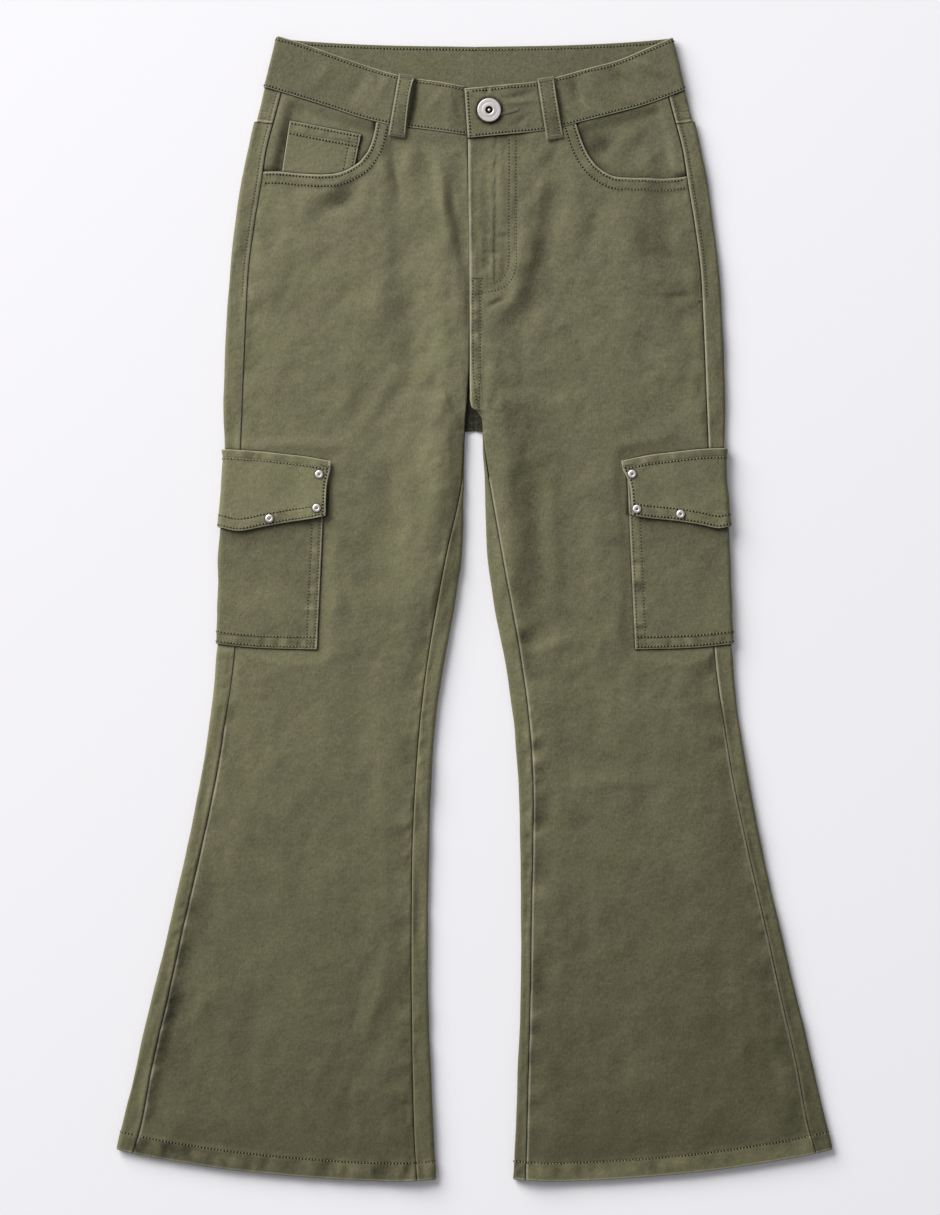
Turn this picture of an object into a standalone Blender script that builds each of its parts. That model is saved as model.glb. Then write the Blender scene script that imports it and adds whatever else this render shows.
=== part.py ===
"""Cargo pants with flared legs, lying flat on their back: each cut and sewn piece is its own solid.

Frame: metres, +Z up. The cloth lies on the plane z = 0, the waist is at +Y and the hems at -Y.
Left and right are the sides as seen from above. The origin is under the middle of the garment.

The tables below hold millimetres. Each panel is a grid of points on the middle of its cloth, worked
out from the leg's sections, and then given a wall. Sections start on top at the outseam, go round
the outer fold, along the floor, and curl up round the inner fold to the inseam.
"""

import math

import bpy
from mathutils import Vector

MM = 0.001
CENTRE_Y = 0.74         # the garment's middle between waist corner and hem, in the tables' own y

# --- cloth ------------------------------------------------------------------------------------
CLOTH = 1.0             # one layer of twill
BAND_CLOTH = 2.0        # the waistband's sewn layers
SEAM_GAP = 0.3          # between neighbouring pieces
LAYER = CLOTH + SEAM_GAP
HEM_DEPTH = 14.0
HEM_EXTRA = 1.0         # the turned-up layers, on the inside

# --- heights of the cloth's middle above the floor ----------------------------------------------
FLOOR_MID = CLOTH / 2
TOP_MID = 4.3
HIP_RISE = 0.4          # the hips lie a little fuller than the legs
HIP_FULL_Y = 300.0
HIP_START_Y = 220.0
BAND_BACK_MID = 2.3
BAND_FRONT_MID = 5.2
BAND_UNDER_MID = 4.7    # left band end, under the right one
BAND_OVER_MID = 7.0     # right band end, over the left one
OVERLAP_END = 22.0
OVERLAP_CLEAR = 45.0
UNDERLAP_BLEND = 8.0    # past the middle the left band's end follows the right band's edges
BAND_RAMP = 14.0        # the panels climb to the waistband over this distance
FACING_MID = 2.5
FACING_RAMP = 10.0
POCKET_RISE = 0.8       # the front panel over the hip pocket's layers
POCKET_RISE_REACH = 26.0
LAYERS_TOP_SHARE = 0.4  # how much of the layers under the leg lifts its top too

# --- outlines, left and right of the middle ------------------------------------------------------
# y, |x| of the outer fold
OUTER_FOLD = (
    (420, 144.2), (383, 153.2), (350, 161.8), (315, 169.9), (280, 175.0), (245, 178.9),
    (210, 181.2), (174, 182.6), (139, 183.2), (108, 181.9), (90, 182.8), (70, 184.4),
    (34, 186.0), (0, 187.0), (-28, 188.0), (-40, 189.0), (-54, 190.0), (-89, 194.4),
    (-125, 200.4), (-160, 207.0), (-195, 214.5), (-230, 222.6), (-265, 230.9), (-300, 239.6),
    (-336, 247.8), (-371, 256.1), (-395, 261.5),
)
# y, |x| of the outseam on top
OUTSEAM = (
    (390, 138.5), (362, 146.0), (337, 152.5), (311, 156.5), (284, 161.0), (250, 165.5),
    (214, 167.5), (139, 170.6), (118, 171.4), (40, 173.5), (-28, 175.6), (-56, 178.6),
    (-79, 182.2), (-123, 189.3), (-162, 197.4), (-200, 205.9), (-239, 214.9), (-285, 225.0),
    (-333, 236.0), (-378, 244.5), (-397, 250.0),
)
# y, left |x|, right |x| of the inner fold, from the crotch down
INNER_FOLD = (
    (145, 6.9, 5.2), (131, 7.4, 6.2), (118, 8.0, 6.8), (96, 8.5, 8.1), (69, 8.7, 8.7),
    (51, 9.1, 9.1), (34, 10.4, 10.4), (16, 13.0, 13.0), (-1, 15.5, 15.5), (-19, 19.0, 19.0),
    (-37, 22.5, 22.5), (-54, 25.2, 25.2), (-72, 28.0, 28.0), (-107, 31.2, 31.2),
    (-142, 32.9, 33.2), (-177, 33.6, 34.0), (-230, 34.5, 34.5), (-301, 33.9, 33.9),
    (-336, 32.3, 32.3), (-371, 31.0, 31.0), (-412, 29.0, 29.0),
)
# y, left |x|, right |x| of the front panel's inner edge: centre seam, crotch curve, inseam
INNER_SEAM = (
    (385, 5.0, -5.0), (345, 5.0, -5.0), (272, 3.0, -3.0), (204, 2.1, -2.1), (169, 3.2, -2.1),
    (154, 5.6, 0.6), (142, 6.5, 4.6), (130, 7.2, 5.9), (118, 8.1, 6.6), (96, 8.9, 10.4),
    (37, 21.2, 20.7), (-27, 32.7, 32.5), (-75, 39.1, 39.4), (-122, 43.0, 42.8),
    (-170, 45.4, 42.8), (-213, 46.0, 42.0), (-264, 46.2, 41.2), (-301, 45.8, 40.5),
    (-334, 45.4, 39.6), (-372, 44.5, 38.7), (-394, 43.6, 38.1), (-417, 41.9, 37.5),
)
# |x|, y of the hem's edge
HEM_EDGE = (
    (28, -417.0), (58, -418.4), (82, -417.8), (133, -414.5), (185, -409.0), (217, -404.0),
    (240, -400.0), (262, -395.0),
)
# |x|, left y, right y of the front waistband's lower edge
BAND_BOTTOM = (
    (-8, 346.2, 345.0), (0, 347.0, 345.8), (26, 350.5, 348.3), (50, 353.6, 350.8),
    (64, 355.7, 353.6), (82, 360.0, 358.3), (104, 367.3, 363.9), (127, 374.6, 370.3),
    (153.5, 382.7, 380.4),
)
# |x|, left y, right y of the front waistband's upper edge
BAND_TOP = (
    (-8, 381.6, 381.6), (0, 382.2, 382.2), (26, 386.8, 384.8), (45, 389.4, 386.8),
    (60, 392.6, 390.0), (82, 399.4, 396.2), (105, 407.3, 402.4), (127, 415.0, 411.5),
    (144.7, 420.3, 419.1),
)
# |x|, upper y, lower y of the back waistband
BACK_BAND = (
    (0, 412.5, 374.5), (60, 413.4, 375.4), (100, 415.0, 377.0), (135, 417.6, 379.5),
    (153.5, 420.0, 381.5),
)
BAND_FOLD = (153.2, 144.2)             # |x| of the waistband's side fold, lower and upper edge
BAND_END = (-5.0, -7.4)                # the right band's end, past the middle
UNDERLAP_X = (-20.0, -12.0, -5.0)      # the left band's hidden end, likewise
BAND_X = (5.0, 15.0, 26.0, 38.0, 50.0, 62.0, 76.0, 90.0, 104.0, 117.0, 131.0)
# |x|, y of the back yoke's lower seam
YOKE_SEAM = ((0, 330.0), (50, 335.0), (100, 345.0), (140, 354.5), (163, 358.0))
# left |x|, left y, right |x|, right y of the hip pocket's mouth, from the outseam to the band
POCKET_MOUTH = (
    (155.5, 320.8, 154.6, 317.4), (148.0, 321.0, 147.0, 316.2), (141.3, 320.8, 136.3, 315.6),
    (125.9, 319.4, 125.7, 316.3), (111.8, 318.7, 115.2, 316.3), (99.9, 319.7, 103.4, 317.0),
    (90.7, 323.6, 95.7, 320.2), (83.8, 328.2, 88.6, 325.7), (77.5, 336.6, 83.0, 333.5),
    (74.0, 346.4, 78.8, 342.6), (71.8, 357.0, 74.3, 355.8),
)
# |x| of the rest of the front panel's top edge, along the waistband
FRONT_TOP_X = (58.0, 42.0, 26.0, 10.0)

# --- the crotch ----------------------------------------------------------------------------------
CROTCH_Y = 131.0
INSEAM_TOP_Y = 96.0     # below it the inseam lies on top, above it on the inner fold's round
CROTCH_TURN = 95.0      # degrees round the inner fold at which the inseam starts, at the crotch
CROTCH_GAP = 0.8        # the seam's gap where it turns round the inner fold
DROOP = 1.2             # how far the front panels' edges sag above the crotch
DROOP_FROM_Y = 165.0
CURL_FLAT = 8.0         # width of the back's inner strip beside the centre back seam
CURL_BLEND = 9.0        # width of the front's edge that bends down to meet it
END_PULL = 0.6          # how long that bend keeps the direction of the back's edge

# --- cargo pockets and flaps ----------------------------------------------------------------------
# left |x|, left y, right |x|, right y
FLAP_TOP = ((106.6, 109.2, 107.5, 109.2), (122.3, 112.1, 126.8, 113.2), (136.7, 113.8, 145.1, 115.5),
            (155.0, 115.8, 164.8, 117.7), (188.0, 118.0, 188.0, 118.7))
FLAP_BOTTOM = ((108.6, 69.0, 113.4, 69.6), (117.7, 67.0, 125.5, 67.4), (138.6, 63.8, 145.1, 65.4),
               (155.0, 60.8, 164.8, 62.5), (173.4, 57.8, 180.5, 59.8), (191.0, 62.0, 191.6, 63.8))
FLAP_INNER = (107.2, 111.8)            # left, right |x| of the flap's inner edge
POCKET_INNER = (109.0, 111.4)          # of the pocket's inner edge at its top
POCKET_SPREAD = 6.2                    # the pocket's inner edge moves out by this towards its bottom
POCKET_TOP_Y = 106.0
POCKET_BOTTOM = ((-115.0, -29.4), (115.0, -28.9), (165.0, -27.3), (190.0, -24.6))
UNDER_INNER = 148.0                    # |x| where pocket and flap end on the underside
FLAP_ZONE = (56.0, 119.0)
POCKET_ZONE = (-31.0, 119.0)
ZONE_RAMP = 10.0
LAYER_UNDER_X = (124.0, 142.0)         # |x| over which the floor side lifts for those layers
LAYER_TOP_X = (80.0, 100.0)

# --- hip pockets ----------------------------------------------------------------------------------
# share across from the outseam, y of the facing's lower edge
FACING_BOTTOM = ((0.0, 323.5), (0.1, 322.5), (0.17, 302.0), (0.4, 296.0), (0.7, 302.0),
                 (0.9, 320.0), (1.0, 335.0))
FACING_INNER_X = 62.0
FACING_CLIMB_X = 80.0   # nearer the middle the facing stays low, under the front panel
FACING_EDGE_GAP = 0.6
FACING_SHARES = (0.0, 0.05, 0.1, 0.17, 0.3, 0.45, 0.6, 0.75, 0.88, 1.0)
COIN_CORNERS = ((-135.3, 358.4), (-83.0, 348.2), (-143.0, 307.0), (-91.0, 309.0))

# --- the largest soft folds: x0, y0, x1, y1, half width, height (minus is a trough) ---------------
FOLDS = (
    (-58.0, 334.0, -54.0, 292.0, 7.0, -0.7),
    (-50.0, 268.0, -47.0, 186.0, 9.0, -0.6),
    (-20.0, 306.0, -8.0, 258.0, 7.0, -0.7),
    (60.0, 326.0, 48.0, 262.0, 8.0, -0.9),
    (48.0, 262.0, 44.0, 228.0, 9.0, -0.9),
    (44.0, 228.0, 24.0, 200.0, 9.0, -0.8),
    (41.0, 290.0, 33.0, 240.0, 7.0, 0.6),
    (138.0, 306.0, 138.0, 262.0, 8.0, -0.5),
    (40.0, 96.0, 45.0, -20.0, 9.0, -0.7),
    (-20.0, 76.0, -27.0, 40.0, 7.0, -0.5),
    (-214.0, -255.0, -238.0, -372.0, 10.0, -0.6),
    (-64.0, -300.0, -82.0, -335.0, 9.0, -0.5),
)

# --- belt loops, hardware -------------------------------------------------------------------------
LOOP_WIDTH = 12.5
LOOP_ARCH = 1.6
# name, top x, top y, bottom x, bottom y
FRONT_LOOPS = (("belt_loop_front_left", -49.1, 391.5, -57.0, 346.0),
               ("belt_loop_front_right", 52.0, 389.5, 58.9, 344.4))
# name, x
BACK_LOOPS = (("belt_loop_back_left", -92.0), ("belt_loop_back_centre", 0.0),
              ("belt_loop_back_right", 92.0))
BACK_LOOP_DROP = 5.0
STUDS = (("stud_left_top", -113.5, 99.2), ("stud_left_corner", -115.4, 74.5),
         ("stud_left_middle", -149.9, 66.9), ("stud_right_top", 115.2, 99.4),
         ("stud_right_corner", 118.6, 73.8), ("stud_right_middle", 150.6, 70.1))
STUD_SIDES = 14
# radius, height over the cloth
STUD_PROFILE = ((3.1, 0.0), (3.1, 0.5), (2.6, 1.2), (1.7, 1.5), (0.9, 1.3))
BUTTON_AT = (10.7, 365.5)
BUTTON_SIDES = 28
BUTTON_PROFILE = ((7.6, 0.0), (8.5, 0.9), (8.5, 2.0), (7.9, 2.7), (6.9, 2.4), (4.1, 2.8),
                  (3.3, 3.2), (2.4, 2.6), (2.0, 1.6))
ZIP = dict(x0=-9.0, x1=15.0, y0=246.0, y1=338.0)

# --- grid sizes -----------------------------------------------------------------------------------
# levels of the rows, down the leg; above BEND_TOP they lean to the top edge
FRONT_LEVELS = (1.0, 0.75, 0.5, 0.25, 0.0)
FRONT_SHARES = (0.0, 0.075, 0.15, 0.225, 0.3, 0.375, 0.45, 0.52, 0.59, 0.66, 0.73, 0.8, 0.87, 0.93,
                0.97, 1.0)
BEND_TOP_FRONT = 262.0
BEND_TOP_BACK = 300.0
FRONT_ROWS = (232.0, 205.0, 180.0, 160.0, 148.0, 138.0)
BACK_ROWS = (BEND_TOP_BACK, 270.0, 235.0, 200.0, 165.0, 145.0, 133.0)
LEG_ROWS = (128.0, 118.0, 107.0, 96.0, 72.0, 56.0, 46.0, 20.0, -6.0, -31.0, -41.0, -75.0, -115.0,
            -160.0, -210.0, -265.0, -320.0, -372.0)
OUTER_START_X = 160.0   # first guesses when a row's end is looked for
INNER_START_X = 60.0
ARC_STEPS = 4
FLOOR_SHARES = (0.13, 0.245, 0.36, 0.5, 0.65, 0.8, 0.92)
CURL_STEPS = 5

# --- colours --------------------------------------------------------------------------------------
OLIVE = (0.150, 0.145, 0.085, 1.0)
SILVER = (0.78, 0.77, 0.74, 1.0)
TAPE = (0.10, 0.10, 0.06, 1.0)


# --- small helpers --------------------------------------------------------------------------------

def ease(value):
    """0 below 0, 1 above 1, smooth between."""
    value = min(1.0, max(0.0, value))
    return value * value * (3.0 - 2.0 * value)


def mix(a, b, share):
    return a + (b - a) * share


def spline(rows, column=1):
    """A smooth function through a table: its first column goes in, the given column comes out."""
    rows = sorted(rows, key=lambda row: row[0])
    xs = [row[0] for row in rows]
    ys = [row[column] for row in rows]
    steps = [(ys[k + 1] - ys[k]) / (xs[k + 1] - xs[k]) for k in range(len(xs) - 1)]
    slopes = [steps[0]] + [(a + b) / 2 for a, b in zip(steps, steps[1:])] + [steps[-1]]

    def value(x):
        k = 0
        while k < len(xs) - 2 and x > xs[k + 1]:
            k += 1
        width = xs[k + 1] - xs[k]
        t = (x - xs[k]) / width
        if t < 0.0 or t > 1.0:
            end = 0 if t < 0.0 else 1
            return ys[k + end] + slopes[k + end] * (x - xs[k + end])
        a = (2 * t ** 3 - 3 * t ** 2 + 1) * ys[k] + (t ** 3 - 2 * t ** 2 + t) * width * slopes[k]
        b = (3 * t ** 2 - 2 * t ** 3) * ys[k + 1] + (t ** 3 - t ** 2) * width * slopes[k + 1]
        return a + b

    return value


def zone(y, low, high, ramp):
    """1 between low and high, easing to 0 within the ramp outside."""
    return ease((y - low + ramp) / ramp) * ease((high + ramp - y) / ramp)


def fold_height(x, y):
    """How far the soft folds raise or sink the top cloth at a point."""
    height = 0.0
    for x0, y0, x1, y1, half_width, rise in FOLDS:
        along = Vector((x1 - x0, y1 - y0))
        length = along.length
        share = (Vector((x - x0, y - y0))).dot(along) / length ** 2
        held = min(1.0, max(0.0, share))
        away = math.hypot(x - mix(x0, x1, held), y - mix(y0, y1, held))
        if away < 2.0 * half_width:
            height += rise * math.cos(math.pi * away / (4.0 * half_width)) ** 2
    return height


class Side:
    """One half of the garment, with the functions that give its lines and heights."""

    def __init__(self, name, sign, column):
        self.name = name
        self.sign = sign
        self.column = column
        self.outer = spline(OUTER_FOLD)
        self.outseam = spline(OUTSEAM)
        self.inner = spline(INNER_FOLD, column)
        self.inner_seam = spline(INNER_SEAM, column)
        self.hem = spline(HEM_EDGE)
        self.band_bottom = spline(BAND_BOTTOM, column)
        self.band_top = spline(BAND_TOP, column)
        self.back_band_top = spline(BACK_BAND, 1)
        self.back_band_bottom = spline(BACK_BAND, 2)
        self.yoke_seam = spline(YOKE_SEAM)
        pick = 2 * (column - 1)
        self.mouth = [(row[pick], row[pick + 1]) for row in POCKET_MOUTH]
        self.mouth_y = spline([(x, y) for x, y in self.mouth])
        self.flap_top = spline([(row[pick], row[pick + 1]) for row in FLAP_TOP])
        self.flap_bottom = spline([(row[pick], row[pick + 1]) for row in FLAP_BOTTOM])
        self.flap_inner = FLAP_INNER[column - 1]
        self.pocket_inner = POCKET_INNER[column - 1]
        self.pocket_bottom = spline(POCKET_BOTTOM)

    def place(self, x, y, z):
        """A point of this side, from |x| and the tables' y, in metres."""
        return Vector((self.sign * x, y - CENTRE_Y, z)) * MM

    def band_y(self, x, share, under):
        """The waistband at |x|: share 0 at its lower edge, 1 at its upper; under 0 front, 1 back."""
        front = mix(self.band_bottom(x), self.band_top(x), share)
        if self is LEFT and x < 0.0:
            over = mix(RIGHT.band_bottom(-x), RIGHT.band_top(-x), share)
            front = mix(front, over, ease(-x / UNDERLAP_BLEND))
        back = mix(self.back_band_bottom(x), self.back_band_top(x), share)
        return mix(front, back, under)

    def layers(self, y):
        """Height of the flap's and the pocket's cloth under the leg at this y."""
        return LAYER * (zone(y, *FLAP_ZONE, ZONE_RAMP) + zone(y, *POCKET_ZONE, ZONE_RAMP))

    def floor(self, x, y):
        """Middle of the lower cloth."""
        lift = self.layers(y) * ease((x - LAYER_UNDER_X[0]) / (LAYER_UNDER_X[1] - LAYER_UNDER_X[0]))
        near = ease(1.0 - (self.back_band_bottom(x) - y) / BAND_RAMP)
        return FLOOR_MID + lift + (BAND_BACK_MID - FLOOR_MID) * near

    def top(self, x, y):
        """Middle of the upper cloth, before its folds."""
        lift = self.layers(y) * ease((x - LAYER_TOP_X[0]) / (LAYER_TOP_X[1] - LAYER_TOP_X[0]))
        hip = HIP_RISE * ease((y - HIP_START_Y) / (HIP_FULL_Y - HIP_START_Y))
        low = TOP_MID + LAYERS_TOP_SHARE * lift + hip
        near = ease(1.0 - (self.band_bottom(x) - y) / BAND_RAMP)
        return mix(low, BAND_FRONT_MID, near)

    def front_top(self, x, y):
        """The same for the front panel, with its rise over the hip pocket and its folds."""
        away = min(math.hypot(x - px, y - py) for px, py in self.mouth)
        rise = POCKET_RISE * ease(2.0 - 2.0 * away / POCKET_RISE_REACH)
        rise *= ease((self.outseam(y) - x) / FACING_RAMP)
        clear = 1.0 - ease((x - LAYER_TOP_X[0]) / (LAYER_TOP_X[1] - LAYER_TOP_X[0])) \
            * zone(y, POCKET_ZONE[0], FLAP_ZONE[1], ZONE_RAMP)
        edge = ease((self.outseam(y) - x) / FACING_RAMP)
        edge *= ease((x - self.inner_seam(y)) / FACING_RAMP)
        edge *= ease((self.band_bottom(x) - y) / BAND_RAMP)
        return self.top(x, y) + rise + fold_height(self.sign * x, y) * clear * edge

    def outer_arc(self, y, step, steps):
        """Point on the outer fold, from the top (step 0) round to the floor, and its outward turn."""
        edge = self.outer(y)
        high = self.top(edge, y)
        low = self.floor(edge, y)
        radius = (high - low) / 2
        angle = math.pi * step / steps
        return edge - radius + radius * math.sin(angle), (high + low) / 2 + radius * math.cos(angle)

    def curl_radius(self, y):
        return (self.top(self.inner(y), y) - self.floor(self.inner(y), y)) / 2

    def curl_start(self, y):
        """|x| on the floor where the back panel's inner strip begins to curl up."""
        rounded = self.inner(y) + self.curl_radius(y)
        return rounded if y < CROTCH_Y else CURL_FLAT + SEAM_GAP / 2

    def curl_length(self, y):
        """Run of the back panel's cloth from the start of the curl to the inseam."""
        if y >= CROTCH_Y:
            return CURL_FLAT
        held = min(y, INSEAM_TOP_Y)
        radius = self.curl_radius(held)
        length = math.pi * radius + self.inner_seam(held) - self.inner(held) - radius - SEAM_GAP / 2
        crotch_length = math.radians(CROTCH_TURN) * radius
        return mix(length, crotch_length, max(0.0, (y - INSEAM_TOP_Y) / (CROTCH_Y - INSEAM_TOP_Y)))

    def droop(self, y):
        return DROOP * ease((DROOP_FROM_Y - y) / (DROOP_FROM_Y - CROTCH_Y)) if y >= CROTCH_Y else 0.0

    def curl_point(self, y, run):
        """Point of the curl after this run along the cloth, and its direction there."""
        start = self.curl_start(y)
        floor = self.floor(start, y)
        if y >= CROTCH_Y:
            return start - run, floor, -1.0, 0.0
        radius = self.curl_radius(y)
        angle = min(run / radius, math.pi)
        straight = max(0.0, run - math.pi * radius)
        x = start - radius * math.sin(angle) + straight
        z = floor + radius * (1.0 - math.cos(angle))
        if angle >= math.pi:
            z = self.top(x, y)
        return x, z, -math.cos(angle), math.sin(angle)


LEFT = Side("left", -1.0, 1)
RIGHT = Side("right", 1.0, 2)
SIDES = (LEFT, RIGHT)


# --- building meshes ------------------------------------------------------------------------------

def make_material(name, colour, metallic, roughness):
    material = bpy.data.materials.new(name)
    material.use_nodes = True
    shader = material.node_tree.nodes["Principled BSDF"]
    shader.inputs["Base Color"].default_value = colour
    shader.inputs["Metallic"].default_value = metallic
    shader.inputs["Roughness"].default_value = roughness
    return material


def add_object(name, points, faces, material):
    mesh = bpy.data.meshes.new(name)
    mesh.from_pydata(points, [], faces)
    mesh.validate()
    mesh.update()
    mesh.shade_smooth()
    mesh.set_sharp_from_angle(angle=math.radians(50.0))
    mesh.materials.append(material)
    item = bpy.data.objects.new(name, mesh)
    bpy.context.scene.collection.objects.link(item)
    return item


def grid_normals(grid):
    """Unit normals of a grid of points, from its rows and columns."""
    rows = len(grid)
    columns = len(grid[0])
    normals = []
    for i in range(rows):
        line = []
        for j in range(columns):
            down = grid[min(i + 1, rows - 1)][j] - grid[max(i - 1, 0)][j]
            across = grid[i][min(j + 1, columns - 1)] - grid[i][max(j - 1, 0)]
            line.append(across.cross(down).normalized())
        normals.append(line)
    return normals


def wall(name, grid, material, flip, cloth=CLOTH, inner_extra=None, outward=0.0):
    """A closed wall round a grid of middle points, moved outward first if it lies on another."""
    normals = grid_normals(grid)
    turn = -1.0 if flip else 1.0
    rows = len(grid)
    columns = len(grid[0])
    points = []
    for layer in (1.0, -1.0):
        for i in range(rows):
            for j in range(columns):
                normal = normals[i][j] * turn
                half = cloth / 2
                if layer < 0.0 and inner_extra is not None:
                    half += inner_extra[i]
                points.append(grid[i][j] + normal * ((outward + layer * half) * MM))
    count = rows * columns

    def at(layer, i, j):
        return layer * count + i * columns + j

    faces = []
    for i in range(rows - 1):
        for j in range(columns - 1):
            faces.append((at(0, i, j), at(0, i, j + 1), at(0, i + 1, j + 1), at(0, i + 1, j)))
            faces.append((at(1, i, j), at(1, i + 1, j), at(1, i + 1, j + 1), at(1, i, j + 1)))
    rim = [(0, j) for j in range(columns)] + [(i, columns - 1) for i in range(1, rows)]
    rim += [(rows - 1, j) for j in range(columns - 2, -1, -1)] + [(i, 0) for i in range(rows - 2, 0, -1)]
    for here, there in zip(rim, rim[1:] + rim[:1]):
        faces.append((at(0, *there), at(0, *here), at(1, *here), at(1, *there)))
    if flip:
        faces = [tuple(reversed(face)) for face in faces]
    return add_object(name, points, faces, material)


def turned(name, profile, sides, centre, material):
    """A round piece standing on its base: profile rows are radius and height."""
    points = []
    for radius, height in profile:
        for k in range(sides):
            angle = 2.0 * math.pi * k / sides
            offset = Vector((radius * math.cos(angle), radius * math.sin(angle), height)) * MM
            points.append(centre + offset)
    faces = []
    for ring in range(len(profile) - 1):
        for k in range(sides):
            here = ring * sides + k
            beside = ring * sides + (k + 1) % sides
            faces.append((here, beside, beside + sides, here + sides))
    faces.append(tuple(range(sides - 1, -1, -1)))
    last = (len(profile) - 1) * sides
    faces.append(tuple(range(last, last + sides)))
    return add_object(name, points, faces, material)


# --- panels ---------------------------------------------------------------------------------------

def level_row(level):
    """A row that stays at one y."""
    return lambda x, under: level


def hem_row(side, height):
    """A row at this height above the hem's edge."""
    return lambda x, under: side.hem(x) + height


def leg_rows(side, levels):
    return [level_row(level) for level in levels] + [hem_row(side, HEM_DEPTH), hem_row(side, 0.0)]


def front_edge_points(side):
    """The front panel's top edge: pocket mouth, then along the waistband to the centre seam."""
    edge = list(side.mouth)
    edge[0] = (side.outseam(edge[0][1]) - SEAM_GAP / 2, edge[0][1])
    edge[-1] = (edge[-1][0], side.band_bottom(edge[-1][0]) - SEAM_GAP)
    edge += [(x, side.band_bottom(x) - SEAM_GAP) for x in FRONT_TOP_X]
    centre = side.inner_seam(346.0) + SEAM_GAP / 2
    edge.append((centre, side.band_bottom(centre) - SEAM_GAP))
    return edge


def front_point(side, share, y_of):
    """A point of the front panel below its bent top: share 0 at the outseam, 1 at the inner edge."""
    y = y_of(side.outer(0.0), 0.0)
    for _ in range(4):
        outer = side.outseam(y) - SEAM_GAP / 2
        inner = side.inner_seam(y) + SEAM_GAP / 2
        x = mix(outer, inner, share)
        y = y_of(x, 0.0)
    z = side.front_top(x, y) - side.droop(y) * ease(1.0 - (x - inner) / CURL_BLEND)
    return x, y, z


def meet_curl(side, line):
    """Bends the last points of a front row down to the back panel's edge on the inner fold."""
    y = line[-1][1]
    if not INSEAM_TOP_Y <= y < CROTCH_Y:
        return line
    back_x, back_z, dx, dz = side.curl_point(y, side.curl_length(y))
    end_x = back_x + dx * CROTCH_GAP
    end_z = back_z + dz * CROTCH_GAP
    start_x = end_x + CURL_BLEND
    start_z = side.top(start_x, y)
    flat = [point for point in line if point[0] >= start_x]
    count = len(line) - len(flat)
    bent = []
    for k in range(count):
        t = (k + 1) / count
        a = 2 * t ** 3 - 3 * t ** 2 + 1
        b = (t ** 3 - 2 * t ** 2 + t) * CURL_BLEND
        c = 3 * t ** 2 - 2 * t ** 3
        d = (t ** 3 - t ** 2) * CURL_BLEND * END_PULL
        bent.append((a * start_x - b + c * end_x - d * dx, y, a * start_z + c * end_z - d * dz))
    return flat + bent


def front_grid(side):
    """Rows of the front panel, from its top edge to the hem."""
    edge = front_edge_points(side)
    low_outer = side.outseam(BEND_TOP_FRONT) - SEAM_GAP / 2
    low_inner = side.inner_seam(BEND_TOP_FRONT) + SEAM_GAP / 2
    rows = []
    for level in FRONT_LEVELS:
        line = []
        for share, (edge_x, edge_y) in zip(FRONT_SHARES, edge):
            y = mix(BEND_TOP_FRONT, edge_y, level)
            x = mix(mix(low_outer, low_inner, share), edge_x, level)
            if level < 1.0:
                outer = side.outseam(y) - SEAM_GAP / 2
                x += (outer - mix(low_outer, edge[0][0], level)) * (1.0 - share) ** 4
            line.append((x, y, side.front_top(x, y)))
        rows.append(line)
    for y_of in leg_rows(side, FRONT_ROWS + LEG_ROWS):
        line = [front_point(side, share, y_of) for share in FRONT_SHARES]
        rows.append(meet_curl(side, line))
    return [[side.place(*point) for point in line] for line in rows]


def back_line(side, y_of):
    """One section of a back piece, from the outseam over the outer fold to its inner edge."""
    fold_y = y_of(OUTER_START_X, 0.5)
    for _ in range(3):
        fold_y = y_of(side.outer(fold_y), 0.5)
    seam_x = side.outseam(fold_y)
    for _ in range(3):
        seam_x = side.outseam(y_of(seam_x, 0.0)) + SEAM_GAP / 2
    fold_x, _ = side.outer_arc(fold_y, 0, ARC_STEPS)
    line = []
    for share in (0.0, 0.5):
        x = mix(seam_x, fold_x, share)
        line.append((x, y_of(x, 0.0), side.top(x, y_of(x, 0.0))))
    for step in range(ARC_STEPS + 1):
        x, z = side.outer_arc(fold_y, step, ARC_STEPS)
        line.append((x, y_of(x, step / ARC_STEPS), z))
    inner_y = y_of(side.curl_start(y_of(INNER_START_X, 1.0)), 1.0)
    start = side.curl_start(inner_y)
    for share in FLOOR_SHARES:
        x = mix(fold_x, start, share)
        line.append((x, y_of(x, 1.0), side.floor(x, y_of(x, 1.0))))
    length = side.curl_length(inner_y)
    for step in range(CURL_STEPS + 1):
        x, z, _, _ = side.curl_point(inner_y, length * step / CURL_STEPS)
        line.append((x, y_of(x, 1.0), z))
    return line


def back_grid(side):
    """Rows of the back panel, from the yoke seam to the hem."""
    rows = []
    for level in (1.0, 0.6, 0.3):
        def leaning(x, under, level=level):
            return mix(BEND_TOP_BACK, side.yoke_seam(x) - SEAM_GAP / 2, level)
        rows.append(back_line(side, leaning))
    for y_of in leg_rows(side, BACK_ROWS + LEG_ROWS):
        rows.append(back_line(side, y_of))
    return [[side.place(*point) for point in line] for line in rows]


def yoke_grid(side):
    """Rows of the back yoke, from the waistband to the yoke seam."""
    rows = []
    for share in (0.0, 0.2, 0.4, 0.7, 1.0):
        def leaning(x, under, share=share):
            upper = side.band_y(x, 0.0, under) - SEAM_GAP
            return mix(upper, side.yoke_seam(x) + SEAM_GAP / 2, share)
        rows.append(back_line(side, leaning))
    return [[side.place(*point) for point in line] for line in rows]


def hem_thickening(row_count):
    """Extra cloth on the inside, on the hem's own rows."""
    return [HEM_EXTRA if i >= row_count - 2 else 0.0 for i in range(row_count)]


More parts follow.
